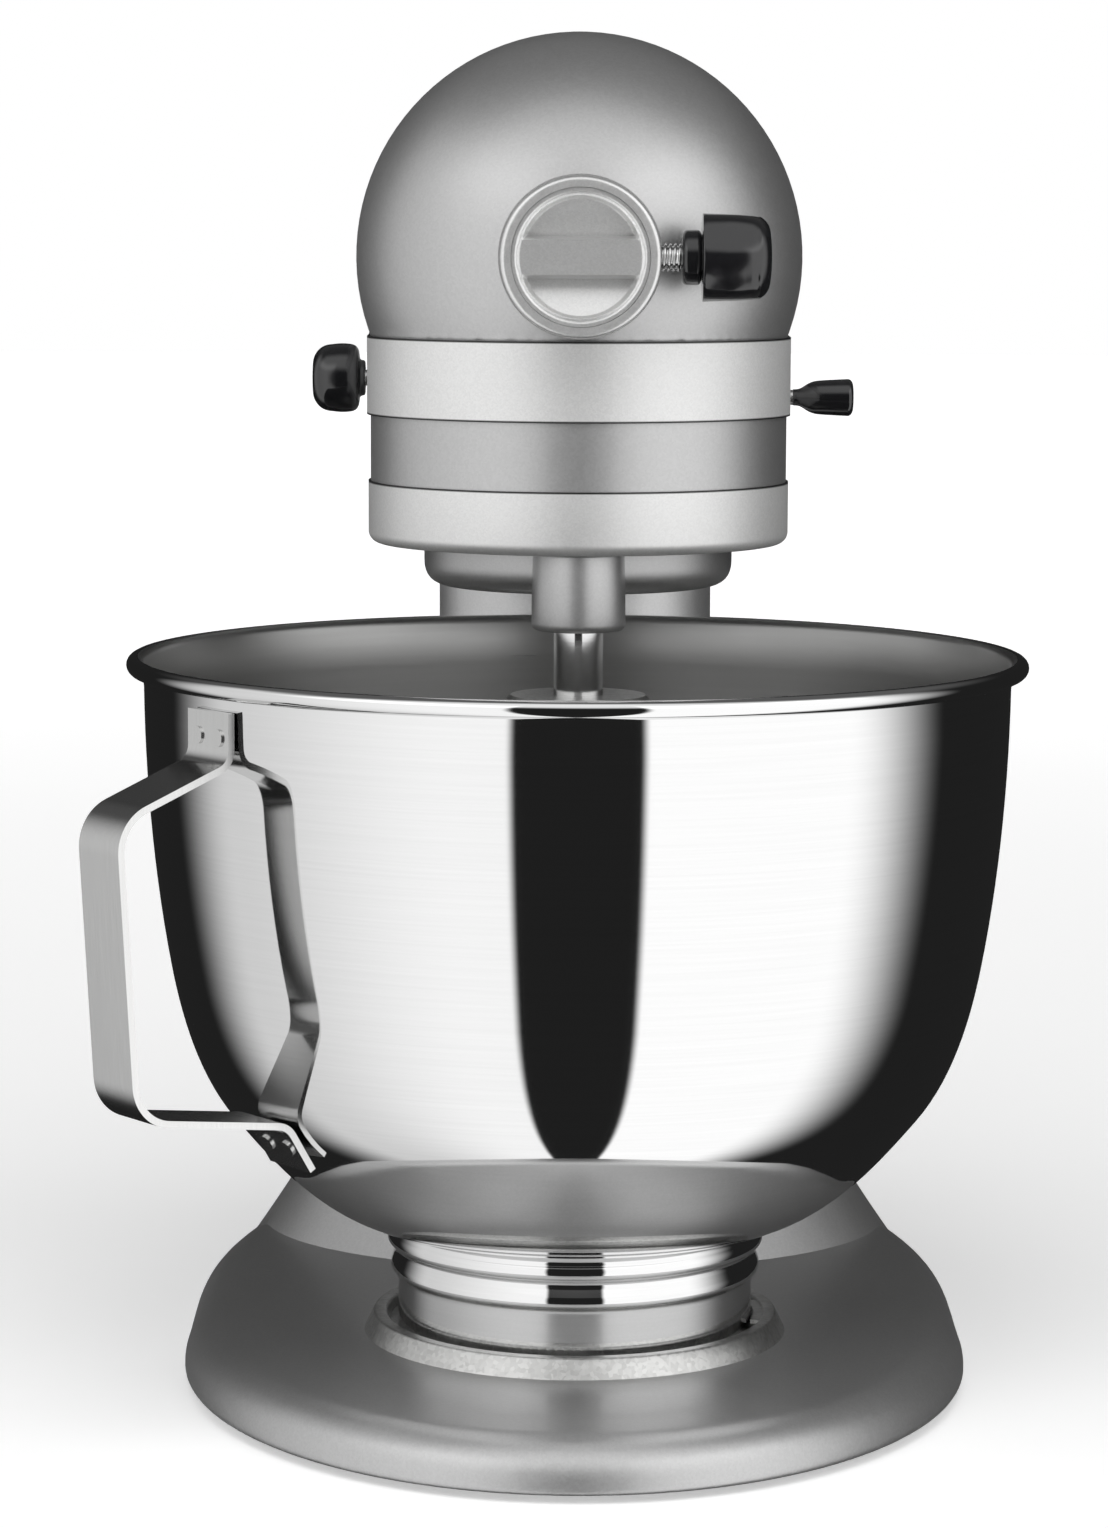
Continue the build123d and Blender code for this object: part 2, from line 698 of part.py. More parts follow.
with BuildPart() as beater_shaft:
    with BuildSketch(Plane.XY.offset(ferrule_bottom + 2.0)):
        with Locations(beater_axis):
            Circle(beater_shaft_radius)
    extrude(amount=carrier_top + 1.0 - ferrule_bottom - 2.0)
    with BuildSketch(Plane.XY.offset(carrier_top + 1.0)):
        with Locations(beater_axis):
            Circle(pinion_seat_radius)
    extrude(amount=head_bottom - 2.0 - carrier_top - 1.0)
    with BuildSketch(Plane((0, -planet_offset, ferrule_top - 5.0), z_dir=(1, 0, 0))):
        Circle(1.6)
    extrude(amount=beater_shaft_radius + 5, both=True, mode=Mode.SUBTRACT)

with BuildPart() as beater_cross_pin:
    with BuildSketch(Plane((0, -planet_offset, ferrule_top - 5.0), z_dir=(1, 0, 0))):
        Circle(1.6 - seat_fit)
    extrude(amount=beater_shaft_radius + 4, both=True)

with BuildPart() as beater_pinion:
    with BuildSketch(Plane.XY.offset(drip_bottom + 3.0)):
        with Locations(beater_axis):
            add(toothed_disc(beater_teeth, planet_module))
            Circle(pinion_seat_radius + seat_fit, mode=Mode.SUBTRACT)
    extrude(amount=drip_height - 5.5)

with BuildPart() as whip_ferrule:
    with BuildSketch(Plane.XZ.offset(planet_offset)):
        with BuildLine():
            Polyline(
                (beater_shaft_radius + seat_fit, ferrule_bottom + 1.9),
                (beater_shaft_radius + seat_fit, ferrule_top), (ferrule_radius - 1.0, ferrule_top),
                (ferrule_radius, ferrule_top - 1.0), (ferrule_radius - 0.4, ferrule_top - 3.0),
                (ferrule_radius - 4.5, ferrule_bottom), (0, ferrule_bottom),
                (0, ferrule_bottom + 1.9), close=True,
            )
        make_face()
    revolve(axis=Axis((0, -planet_offset, 0), (0, 0, 1)))
    with BuildSketch(Plane((0, -planet_offset, ferrule_top - 5.0), z_dir=(1, 0, 0))):
        Circle(1.6 + seat_fit)
        with Locations((0, 3)):
            Rectangle(2 * (1.6 + seat_fit), 6)
    extrude(amount=beater_shaft_radius + 4.1, both=True, mode=Mode.SUBTRACT)

wire_circle = ferrule_radius - 7.0

with BuildPart() as whip_wires:
    for loop in range(wire_loops):
        turn = radians(180 / wire_loops * loop)
        centre_level = whip_bottom + whip_radius + loop * (2 * wire_radius + 0.4)
        half_out = (whip_radius - wire_circle) / 2
        half_up = (ferrule_bottom - centre_level) / 2
        bend_radius = (half_out ** 2 + half_up ** 2) / (2 * half_out)
        middle = (wire_circle + half_out, centre_level + half_up)
        plane = Plane((0, -planet_offset, 0), x_dir=(cos(turn), sin(turn), 0),
                      z_dir=(sin(turn), -cos(turn), 0))
        with BuildLine(plane) as bend:
            RadiusArc((-wire_circle, ferrule_bottom), (-middle[0], middle[1]), bend_radius)
            RadiusArc((-middle[0], middle[1]), (-whip_radius, centre_level), -bend_radius)
            CenterArc((0, centre_level), whip_radius, 180, 180)
            RadiusArc((whip_radius, centre_level), middle, -bend_radius)
            RadiusArc(middle, (wire_circle, ferrule_bottom), bend_radius)
        with BuildSketch(Plane(bend.wire() @ 0, z_dir=bend.wire() % 0)):
            Circle(wire_radius)
        sweep()

# ---------------------------------------------------------------- gear train

contact = degrees(atan2(wheel_y, wheel_x))
lead = contact % (360 / centre_teeth)
drive_turn = contact + 180 + lead * centre_teeth / drive_teeth + 180 / drive_teeth
wheel_axis = (wheel_x, wheel_y)
wheel_width = 8.0
arm_level = motor_level + wheel_width / 2 + 4.0

with BuildPart() as worm_wheel:
    with BuildSketch(Plane.XY.offset(centre_gear_level)):
        with Locations(Location((wheel_x, wheel_y, 0), (0, 0, drive_turn))):
            add(toothed_disc(drive_teeth, drive_module))
    extrude(amount=centre_gear_width)
    with BuildSketch(Plane.XY.offset(centre_gear_level + centre_gear_width)):
        with Locations(wheel_axis):
            Circle(spindle_radius + 3.0)
    extrude(amount=motor_level - wheel_width / 2 - centre_gear_level - centre_gear_width)
    with BuildSketch(Plane.XY.offset(motor_level - wheel_width / 2)):
        with Locations(wheel_axis):
            add(toothed_disc(wheel_teeth, 2 * wheel_radius / (wheel_teeth + 1.7)))
    extrude(amount=wheel_width)
    with Locations(Plane((wheel_x, wheel_y, motor_level + wheel_width / 2))):
        Hole(spindle_radius + running_fit)

with BuildPart() as worm_wheel_spindle:
    with BuildSketch(Plane.XY.offset(head_bottom + 1.0)):
        with Locations(wheel_axis):
            Circle(spindle_radius)
    extrude(amount=arm_level + 3.0 - head_bottom)
    chamfer(worm_wheel_spindle.edges(), length=0.5)

bush_radius = 8.0
motor_plane = Plane((0, 0, motor_level), x_dir=(1, 0, 0), z_dir=(0, -1, 0))


def motor_ring(start, length, outer, inner):
    """A ring about the motor's axis, from start towards the rear; inner 0 leaves it solid."""
    with BuildPart() as turned:
        with BuildSketch(motor_plane.offset(-start)):
            Circle(outer)
            if inner:
                Circle(inner, mode=Mode.SUBTRACT)
        extrude(amount=-length)
    return turned.part


bracket_half_width = 36.0
bracket_thickness = 4.0

with BuildPart() as gearbox_bracket:
    with BuildSketch(Plane.XZ.offset(-bracket_y)):
        with Locations((0, (inside_floor + motor_level + 18) / 2)):
            Rectangle(2 * bracket_half_width, motor_level + 18 - inside_floor)
    extrude(amount=-bracket_thickness)
    with BuildSketch(Plane.XY.offset(inside_floor)):
        with Locations((0, bracket_y + 9)):
            Rectangle(2 * bracket_half_width, 18)
    extrude(amount=3.0)
    with BuildSketch(Plane.XY.offset(arm_level)):
        with Locations((wheel_x, (wheel_y - 8 + bracket_y + 1) / 2)):
            Rectangle(18, bracket_y + 1 - wheel_y + 8)
    extrude(amount=4.0)
    with BuildSketch(motor_plane):
        Circle(bush_radius + seat_fit)
    extrude(amount=-head_rear, mode=Mode.SUBTRACT)
    with Locations(Plane((wheel_x, wheel_y, arm_level + 4.0))):
        Hole(spindle_radius + seat_fit, depth=6)
    with Locations(Plane.XY.offset(inside_floor + 3.0)):
        with Locations(*bracket_screw_places):
            Hole(2.0 + seat_fit, depth=4)

with BuildPart() as bracket_screws:
    with BuildSketch(Plane.XY.offset(inside_floor + 3.0)):
        with Locations(*bracket_screw_places):
            Circle(3.6)
    extrude(amount=2.0)
    with BuildSketch(Plane.XY.offset(inside_floor + 3.0)):
        with Locations(*bracket_screw_places):
            Circle(2.0)
    extrude(amount=-5.5)

# ---------------------------------------------------------------- motor

pole_bore = core_radius + 1.0
yoke_inner = stator_radius - 6.0
rear_bracket_y = cover_split - 4.0

with BuildPart() as motor_stator:
    with BuildSketch(motor_plane.offset(-stator_front)):
        Circle(stator_radius)
        Circle(yoke_inner, mode=Mode.SUBTRACT)
        with BuildSketch() as poles:
            Circle(stator_radius - 1)
            Rectangle(24, 2 * stator_radius, mode=Mode.INTERSECT)
            Circle(pole_bore, mode=Mode.SUBTRACT)
    extrude(amount=-stator_length)

with BuildPart() as field_coils:
    with BuildSketch(motor_plane.offset(-(stator_front - 7))):
        Circle(yoke_inner - 0.8)
        Circle(pole_bore + 1.5, mode=Mode.SUBTRACT)
        Rectangle(4 * stator_radius, 32, mode=Mode.INTERSECT)
    extrude(amount=-(stator_length + 14))

with BuildPart() as armature_shaft:
    add(motor_ring(wheel_y - 16, rear_bracket_y + 32 - wheel_y, motor_shaft_radius, 0))
    add(motor_ring(wheel_y - 13, 26, worm_radius, 0))

with BuildPart() as armature_core:
    add(motor_ring(stator_front + 2, stator_length - 4, core_radius, motor_shaft_radius + seat_fit))
    with BuildSketch(motor_plane.offset(-stator_front)):
        with PolarLocations(core_radius, 12):
            Rectangle(6, 2)
    extrude(amount=-stator_length, mode=Mode.SUBTRACT)

with BuildPart() as commutator:
    add(motor_ring(brush_y - 8, 16, 12, motor_shaft_radius + seat_fit))
    with BuildSketch(motor_plane.offset(-(brush_y - 8))):
        with PolarLocations(12, 24):
            Rectangle(2, 0.5)
    extrude(amount=-16, mode=Mode.SUBTRACT)

fan_y = bracket_y + bracket_thickness + 8.0

with BuildPart() as cooling_fan:
    add(motor_ring(fan_y, 2, stator_radius - 6, motor_shaft_radius + seat_fit))
    add(motor_ring(fan_y, 9, 9, motor_shaft_radius + seat_fit))
    with BuildSketch(motor_plane.offset(-fan_y)):
        with PolarLocations((stator_radius + 2) / 2, 10):
            Rectangle(stator_radius - 16, 1.4, rotation=20)
    extrude(amount=-9)

with BuildPart() as rear_motor_bracket:
    with BuildSketch(motor_plane.offset(-rear_bracket_y)):
        Circle(bracket_half_width)
        Rectangle(2 * (side_inner - 7), 16)
        Circle(bush_radius + seat_fit, mode=Mode.SUBTRACT)
        with PolarLocations(24, 6):
            Circle(6, mode=Mode.SUBTRACT)
    extrude(amount=-3.5)

with BuildPart() as armature_bushes:
    bush_bore = motor_shaft_radius + running_fit
    add(motor_ring(bracket_y - 2, bracket_thickness + 4, bush_radius, bush_bore))
    add(motor_ring(rear_bracket_y - 2, 8, bush_radius, bush_bore))

brush_plane = Plane((0, brush_y, motor_level), x_dir=(0, 1, 0), z_dir=(1, 0, 0))
side_at_brush = 50.0

with BuildPart() as brush_holders:
    with BuildSketch(brush_plane.offset(14)):
        Circle(6)
        Circle(4.2, mode=Mode.SUBTRACT)
    extrude(amount=side_at_brush - 14)
    mirror(about=Plane.YZ)

with BuildPart() as carbon_brushes:
    with BuildSketch(brush_plane.offset(12.3)):
        Rectangle(5, 6)
    extrude(amount=14)
    mirror(about=Plane.YZ)

with BuildPart() as brush_springs:
    with BuildSketch(brush_plane.offset(26.3)):
        Circle(3.6)
        Circle(2.6, mode=Mode.SUBTRACT)
    extrude(amount=side_at_brush - 4 - 26.3)
    mirror(about=Plane.YZ)

with BuildPart() as brush_caps:
    with BuildSketch(brush_plane.offset(side_at_brush - 4)):
        Circle(4.0)
    extrude(amount=4.0)
    with BuildSketch(brush_plane.offset(side_at_brush)):
        Circle(cap_stem)
    extrude(amount=dome_radius - side_at_brush - 0.6)
    fillet(brush_caps.faces().sort_by(Axis.X)[-1].edges(), radius=0.8)
    with BuildSketch(brush_plane.offset(dome_radius - 2.6)):
        Rectangle(1.6, 10)
    extrude(amount=4, mode=Mode.SUBTRACT)
    mirror(about=Plane.YZ)

with BuildPart() as speed_governor:
    add(motor_ring(rear_bracket_y + 7, 8, 14, motor_shaft_radius + seat_fit))

with BuildPart() as speed_control_board:
    with BuildSketch(motor_plane.offset(-(rear_bracket_y + 27))):
        RectangleRounded(48, 52, 4)
        Circle(6, mode=Mode.SUBTRACT)
    extrude(amount=-1.6)
    with BuildSketch(motor_plane.offset(-(rear_bracket_y + 27))):
        with Locations((-14, 14), (14, 14), (0, -16)):
            Rectangle(9, 7)
    extrude(amount=4)

inlet_face = rear_centre + sqrt(rear_dome ** 2 - cord_inlet_x ** 2 - axis_above_band ** 2)

with BuildPart() as cord_inlet:
    with BuildSketch(Plane((cord_inlet_x, inlet_face + 3, cord_inlet_level), z_dir=(0, 1, 0))):
        Circle(cord_inlet_radius)
        Circle(cord_inlet_radius - 2.5, mode=Mode.SUBTRACT)
    extrude(amount=-14)
    fillet(cord_inlet.faces().sort_by(Axis.Y)[-1].edges(), radius=0.8)

# ---------------------------------------------------------------- hub drive, cap and thumb knob

drive_end = barrel_inner_end - 0.5

with BuildPart() as hub_drive_pinion:
    with BuildSketch(Plane.YZ):
        with BuildLine():
            root_y = -bevel_wheel_radius - wheel_root * bevel_pinion_radius
            root_r = bevel_pinion_radius - wheel_root * bevel_wheel_radius
            Polyline(
                (root_y, hub_level), (root_y, hub_level + root_r),
                (bevel_inner * root_y, hub_level + bevel_inner * root_r),
                (bevel_inner * root_y, hub_level), close=True,
            )
        make_face()
    revolve(axis=Axis((0, 0, hub_level), (0, 1, 0)))
    with BuildSketch(hub_plane.offset(-root_y - 0.01)):
        Circle(drive_hub_radius)
    extrude(amount=drive_end + root_y)
    pinion_tooth = bevel_tooth(-1)
    pinion_step = 360 / bevel_pinion_teeth
    for k in range(bevel_pinion_teeth):
        add(pinion_tooth.rotate(Axis((0, 0, hub_level), (0, 1, 0)), pinion_step * (k + 0.5)))
    with BuildSketch(hub_plane.offset(drive_end + 0.5)):
        Rectangle(drive_square, drive_square)
    extrude(amount=-drive_square_depth, mode=Mode.SUBTRACT)

cap_face = hub_face - 0.5
bar_height = 9.0

with BuildPart() as hub_cap:
    with BuildSketch(hub_plane.offset(recess_floor + loose_fit)):
        Circle(cap_radius)
    extrude(amount=cap_face - recess_floor - loose_fit)
    fillet(hub_cap.faces().sort_by(Axis.Y)[0].edges(), radius=0.8)
    with BuildSketch(hub_plane.offset(cap_face - 2.6)):
        Circle(cap_radius - 2.6)
        Rectangle(2 * cap_radius, bar_height, mode=Mode.SUBTRACT)
    extrude(amount=5, mode=Mode.SUBTRACT)

knob_start = hub_radius + 4.8
collar_length = 5.1
knob_length = 17.0
thumb_tip = hub_bore + 0.6

with BuildPart() as hub_thumb_screw:
    with BuildSketch(thumb_plane.offset(thumb_tip)):
        Circle(thumb_radius)
    extrude(amount=knob_start + collar_length + 10 - thumb_tip)
    chamfer(hub_thumb_screw.edges(), length=0.5)

with BuildPart() as hub_knob:
    with BuildSketch(thumb_plane.offset(knob_start)):
        Circle(7.0)
    extrude(amount=collar_length)
    fillet(hub_knob.faces().sort_by(Axis.X)[0].edges(), radius=2.0)
    with BuildSketch(thumb_plane.offset(knob_start + collar_length)):
        Circle(knob_radius)
        with PolarLocations(knob_radius + 1.2, 8):
            Circle(2.4, mode=Mode.SUBTRACT)
    extrude(amount=knob_length)
    fillet(hub_knob.faces().sort_by(Axis.X)[-1].edges(), radius=1.8)
    with BuildSketch(thumb_plane.offset(knob_start)):
        Circle(thumb_radius + seat_fit)
    extrude(amount=collar_length + 10.5, mode=Mode.SUBTRACT)

# ---------------------------------------------------------------- side controls

lever_radius = 2.1
band_side = side_outer + band_proud
link_x = side_inner - 6.7
speed_plane = Plane((0, speed_at, speed_level), x_dir=(0, 1, 0), z_dir=(-1, 0, 0))
speed_knob_start = band_side + 2.4
speed_knob_length = 14.0
speed_knob_radius = 9.3

with BuildPart() as speed_lever:
    with BuildSketch(speed_plane.offset(link_x)):
        Circle(lever_radius)
    extrude(amount=speed_knob_start + speed_knob_length - 4 - link_x)
    with BuildSketch(speed_plane.offset(link_x - 3)):
        with Locations((40, 0)):
            Rectangle(96, 10)
    extrude(amount=3)

with BuildPart() as speed_knob:
    with BuildSketch(speed_plane.offset(speed_knob_start)):
        Circle(speed_knob_radius)
    extrude(amount=speed_knob_length)
    fillet(speed_knob.faces().sort_by(Axis.X)[0].edges(), radius=4.0)
    fillet(speed_knob.faces().sort_by(Axis.X)[-1].edges(), radius=2.5)
    with BuildSketch(speed_plane.offset(speed_knob_start)):
        Circle(lever_radius + seat_fit)
    extrude(amount=speed_knob_length - 4, mode=Mode.SUBTRACT)

lock_plane = Plane((0, lock_at, lock_level), x_dir=(0, 1, 0), z_dir=(1, 0, 0))
lock_knob_start = side_outer + 6.8
lock_knob_length = 17.0
lock_knob_radius = 5.6
slider_x = side_inner - 8.0
arm_low = inside_floor + 4.0

with BuildPart() as lock_slider:
    with BuildSketch(lock_plane.offset(slider_x)):
        with Locations((10, (arm_low + lock_level + 4) / 2 - lock_level)):
            Rectangle(40, lock_level + 4 - arm_low)
    extrude(amount=3.5)
    with BuildSketch(lock_plane.offset(slider_x)):
        Circle(lever_radius)
    extrude(amount=lock_knob_start + lock_knob_length - 5 - slider_x)
    with BuildSketch(Plane.XY.offset(arm_low)):
        with Locations(((slider_x + 9) / 2, lock_at + 16)):
            Rectangle(slider_x + 1 - 8, 8)
    extrude(amount=3.5)

with BuildPart() as lock_knob:
    with BuildSketch(lock_plane.offset(lock_knob_start)):
        Circle(lock_knob_radius)
    extrude(amount=lock_knob_length)
    fillet(lock_knob.faces().sort_by(Axis.X)[-1].edges(), radius=2.5)
    fillet(lock_knob.faces().sort_by(Axis.X)[0].edges(), radius=1.5)
    with BuildSketch(lock_plane.offset(lock_knob_start)):
        Circle(lever_radius + seat_fit)
    extrude(amount=lock_knob_length - 5, mode=Mode.SUBTRACT)

with BuildPart() as lock_bolt:
    with BuildSketch(Plane((0, bolt_y, head_bottom + 0.5))):
        Circle(3.0)
    extrude(amount=shell_wall + bolt_drop + 0.5)
    with BuildSketch(Plane((0, bolt_y, inside_floor + bolt_drop + loose_fit))):
        Circle(4.6)
    extrude(amount=2.0)

# ---------------------------------------------------------------- bowl

def bowl_form(inset):
    """The bowl's outer form, or its hollow when inset is the wall."""
    with BuildPart() as form:
        with BuildSketch(Plane.XZ):
            with BuildLine():
                wall = Spline(
                    (bowl_floor_radius, bowl_bottom + inset),
                    (0.806 * bowl_radius - 0.75 * inset, bowl_bottom + 0.199 * bowl_height + 0.6 * inset),
                    (0.940 * bowl_radius - inset, bowl_bottom + 0.455 * bowl_height),
                    (bowl_radius - inset, rim_level),
                    tangents=((1, 0.05), (0, 1)),
                )
                Polyline(wall @ 1, (0, rim_level), (0, bowl_bottom + inset), wall @ 0)
            make_face()
        revolve(axis=Axis.Z)
    return form.part


with BuildPart() as bowl_shell:
    add(bowl_form(0))
    add(bowl_form(bowl_wall), mode=Mode.SUBTRACT)
    with BuildSketch(Plane.XZ):
        with Locations((bowl_radius + rim_bead - 0.1, rim_level)):
            Circle(rim_bead)
    revolve(axis=Axis.Z)

with BuildPart() as bowl_foot:
    with BuildSketch(Plane.XZ):
        with BuildLine():
            ledge = foot_bottom + 0.52 * foot_ring_height
            Polyline(
                (foot_radius - bowl_wall, foot_bottom), (foot_radius, foot_bottom),
                (foot_radius, ledge - 0.8), (foot_radius + 2.0, ledge), (foot_radius + 2.0, ledge + 1.6),
                (foot_radius + 0.6, ledge + 4.0), (bowl_floor_radius - 1.0, bowl_bottom),
                (bowl_floor_radius - 2.4, bowl_bottom), (foot_radius - bowl_wall, ledge + 4.0),
                close=True,
            )
        make_face()
    revolve(axis=Axis.Z)
    with BuildSketch(Plane.XY.offset(foot_bottom)):
        add(ring_sectors(foot_radius - 0.4, foot_radius + lug_reach, 20, tab_count, 45))
    extrude(amount=lug_thickness)

turn = radians(handle_azimuth)
handle_plane = Plane((0, 0, 0), x_dir=(cos(turn), sin(turn), 0), z_dir=(sin(turn), -cos(turn), 0))
half_strap = strap_thickness / 2
upper_tab = (bowl_radius + half_strap + 0.1, rim_level - 5.5)
upper_bend = (bowl_radius + half_strap + 0.1, rim_level - 18.0)
lower_bend = (0.864 * bowl_radius, bowl_bottom + 0.246 * bowl_height)
lower_tab = (0.798 * bowl_radius, bowl_bottom + 0.165 * bowl_height)

with BuildPart() as bowl_handle:
    with BuildSketch(handle_plane):
        with BuildLine():
            FilletPolyline(
                upper_tab, upper_bend, (bowl_radius + handle_reach + 1.6, rim_level - 30.0),
                (bowl_radius + handle_reach - 3.0, lower_bend[1] + 6.0), lower_bend, lower_tab,
                radius=(5, 11, 11, 6),
            )
        trace(line_width=strap_thickness)
    extrude(amount=strap_width / 2, both=True)

with BuildPart() as handle_welds:
    for start, end in ((upper_bend, upper_tab), (lower_tab, lower_bend)):
        along = Vector(end[0] - start[0], end[1] - start[1]).normalized()
        middle = Vector(start[0] + end[0], start[1] + end[1]) * 0.5
        face_point = middle + Vector(along.Y, -along.X) * half_strap
        weld_plane = Plane(
            handle_plane.from_local_coords(Vector(face_point.X, face_point.Y, 0)),
            x_dir=handle_plane.z_dir,
            z_dir=handle_plane.x_dir * along.Y - Vector(0, 0, along.X),
        )
        with BuildSketch(weld_plane):
            with Locations((-4.5, 0), (4.5, 0)):
                Circle(2.2)
        extrude(amount=0.5)

# ---------------------------------------------------------------- STEP files

pieces = {
    "base_casting": base_casting,
    "rubber_feet": rubber_feet,
    "bowl_clamp_plate": bowl_clamp_plate,
    "clamp_plate_screws": clamp_plate_screws,
    "hinge_pin": hinge_pin,
    "head_height_screw": head_height_screw,
    "lower_housing": lower_housing,
    "upper_housing": upper_housing,
    "rear_cover": rear_cover,
    "trim_band": trim_band,
    "drip_ring": drip_ring,
    "ring_gear": ring_gear,
    "rear_cover_screw": rear_cover_screw,
    "hub_barrel": hub_barrel,
    "hub_bush": hub_bush,
    "planetary_carrier": planetary_carrier,
    "planetary_shaft": planetary_shaft,
    "planetary_bearings": planetary_bearings,
    "centre_gear": centre_gear,
    "beater_shaft": beater_shaft,
    "beater_cross_pin": beater_cross_pin,
    "beater_pinion": beater_pinion,
    "whip_ferrule": whip_ferrule,
    "whip_wires": whip_wires,
    "worm_wheel": worm_wheel,
    "worm_wheel_spindle": worm_wheel_spindle,
    "gearbox_bracket": gearbox_bracket,
    "bracket_screws": bracket_screws,
    "motor_stator": motor_stator,
    "field_coils": field_coils,
    "armature_shaft": armature_shaft,
    "armature_core": armature_core,
    "commutator": commutator,
    "cooling_fan": cooling_fan,
    "rear_motor_bracket": rear_motor_bracket,
    "armature_bushes": armature_bushes,
    "brush_holders": brush_holders,
    "carbon_brushes": carbon_brushes,
    "brush_springs": brush_springs,
    "brush_caps": brush_caps,
    "speed_governor": speed_governor,
    "speed_control_board": speed_control_board,
    "cord_inlet": cord_inlet,
    "hub_drive_pinion": hub_drive_pinion,
    "hub_cap": hub_cap,
    "hub_thumb_screw": hub_thumb_screw,
    "hub_knob": hub_knob,
    "speed_lever": speed_lever,
    "speed_knob": speed_knob,
    "lock_slider": lock_slider,
    "lock_knob": lock_knob,
    "lock_bolt": lock_bolt,
    "bowl_shell": bowl_shell,
    "bowl_foot": bowl_foot,
    "bowl_handle": bowl_handle,
    "handle_welds": handle_welds,
}

for name, piece in pieces.items():
    piece.part.label = name
    export_step(piece.part, f"parts/{name}.step")
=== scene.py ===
"""Looks of a tilt-head stand mixer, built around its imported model. Metres, +Z up, front towards -Y."""

import json
import math

import bmesh
import bpy
from mathutils import Matrix, Vector

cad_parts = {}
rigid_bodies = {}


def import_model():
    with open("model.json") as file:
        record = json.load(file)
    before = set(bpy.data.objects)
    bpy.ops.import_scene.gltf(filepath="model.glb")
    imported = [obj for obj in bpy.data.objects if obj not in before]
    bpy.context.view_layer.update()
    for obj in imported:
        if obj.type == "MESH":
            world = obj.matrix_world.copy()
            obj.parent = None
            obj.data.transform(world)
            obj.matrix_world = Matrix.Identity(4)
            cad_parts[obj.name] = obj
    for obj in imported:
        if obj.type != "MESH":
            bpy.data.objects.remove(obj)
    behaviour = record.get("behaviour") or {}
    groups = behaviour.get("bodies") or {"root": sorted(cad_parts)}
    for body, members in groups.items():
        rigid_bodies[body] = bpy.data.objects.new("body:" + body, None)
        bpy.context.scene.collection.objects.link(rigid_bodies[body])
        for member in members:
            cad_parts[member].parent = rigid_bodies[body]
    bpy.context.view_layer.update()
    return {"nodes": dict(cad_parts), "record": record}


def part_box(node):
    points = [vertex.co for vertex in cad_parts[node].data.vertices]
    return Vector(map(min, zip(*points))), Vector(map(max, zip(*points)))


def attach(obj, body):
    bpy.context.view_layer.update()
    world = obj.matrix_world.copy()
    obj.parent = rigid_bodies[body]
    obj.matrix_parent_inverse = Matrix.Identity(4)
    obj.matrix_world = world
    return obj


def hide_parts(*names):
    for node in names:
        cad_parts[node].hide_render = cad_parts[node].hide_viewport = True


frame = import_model()

MM = 0.001
record = frame["record"]
slot_of = {part["node"]: part["material_slot"] for part in record["subparts"]}
body_of = {node: body for body, nodes in record["behaviour"]["bodies"].items() for node in nodes}


def middle(node):
    low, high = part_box(node)
    return (low + high) / 2


# ---------------------------------------------------------------- camera and studio

EYE = Vector((-0.006, -1.153, 0.307))
LOOK_DOWN = math.radians(7.0)
ROLL = math.radians(0.22)
LENS = 105
GAP_EDGE = (math.radians(16), math.radians(19))         # bearings where the soft panels begin
RIGHT_FADE = (math.radians(74), math.radians(112))      # and where each one fades out
LEFT_FADE = (math.radians(104), math.radians(134))
LEFT_DIP = (0.5, 1.9)           # bearings over which the left panel loses DIP of its light
DIP = 0.35
PANEL_TOP = (0.50, 0.86)        # heights, as the upward part of a direction, where the panels end
SKY_FOOT = (0.32, 0.70)         # and where the light from above begins
SKY_FRONT = (-0.10, 0.35)       # how far to the front the light from above is at its fullest
LEFT_LEVEL = 1.12
RIGHT_LEVEL = 1.22
SKY_LEVEL = 0.10
SKY_FRONT_LEVEL = 0.85
GAP_LEVEL = 0.016
FLOOR_RADIUS = 9.0


def place_camera():
    data = bpy.data.cameras.new("camera")
    data.lens = LENS
    data.sensor_width = 36
    data.clip_start = 0.05
    data.clip_end = 100
    camera = bpy.data.objects.new("camera", data)
    bpy.context.scene.collection.objects.link(camera)
    turn = Matrix.Rotation(math.pi / 2 - LOOK_DOWN, 4, "X") @ Matrix.Rotation(ROLL, 4, "Z")
    camera.matrix_world = Matrix.Translation(EYE) @ turn
    bpy.context.scene.camera = camera


place_camera()
bpy.context.scene.view_settings.view_transform = "Standard"


# ---------------------------------------------------------------- shader maths

class Wire:
    """A socket's value. An operator on it adds the Math node that does the sum."""

    def __init__(self, board, socket):
        self.board = board
        self.socket = socket

    def math(self, operation, *values):
        return self.board.node("ShaderNodeMath", {"operation": operation}, dict(enumerate(values)))

    def __add__(self, other):
        return self.math("ADD", self, other)

    def __radd__(self, other):
        return self.math("ADD", other, self)

    def __sub__(self, other):
        return self.math("SUBTRACT", self, other)

    def __rsub__(self, other):
        return self.math("SUBTRACT", other, self)

    def __mul__(self, other):
        return self.math("MULTIPLY", self, other)

    def __rmul__(self, other):
        return self.math("MULTIPLY", other, self)

    def __truediv__(self, other):
        return self.math("DIVIDE", self, other)

    def __pow__(self, other):
        return self.math("POWER", self, other)

    def steps(self, low, high):
        """0 below low, 1 above high and smooth in between."""
        inputs = {"Value": self, "From Min": low, "From Max": high}
        return self.board.node("ShaderNodeMapRange", {"interpolation_type": "SMOOTHSTEP"}, inputs)


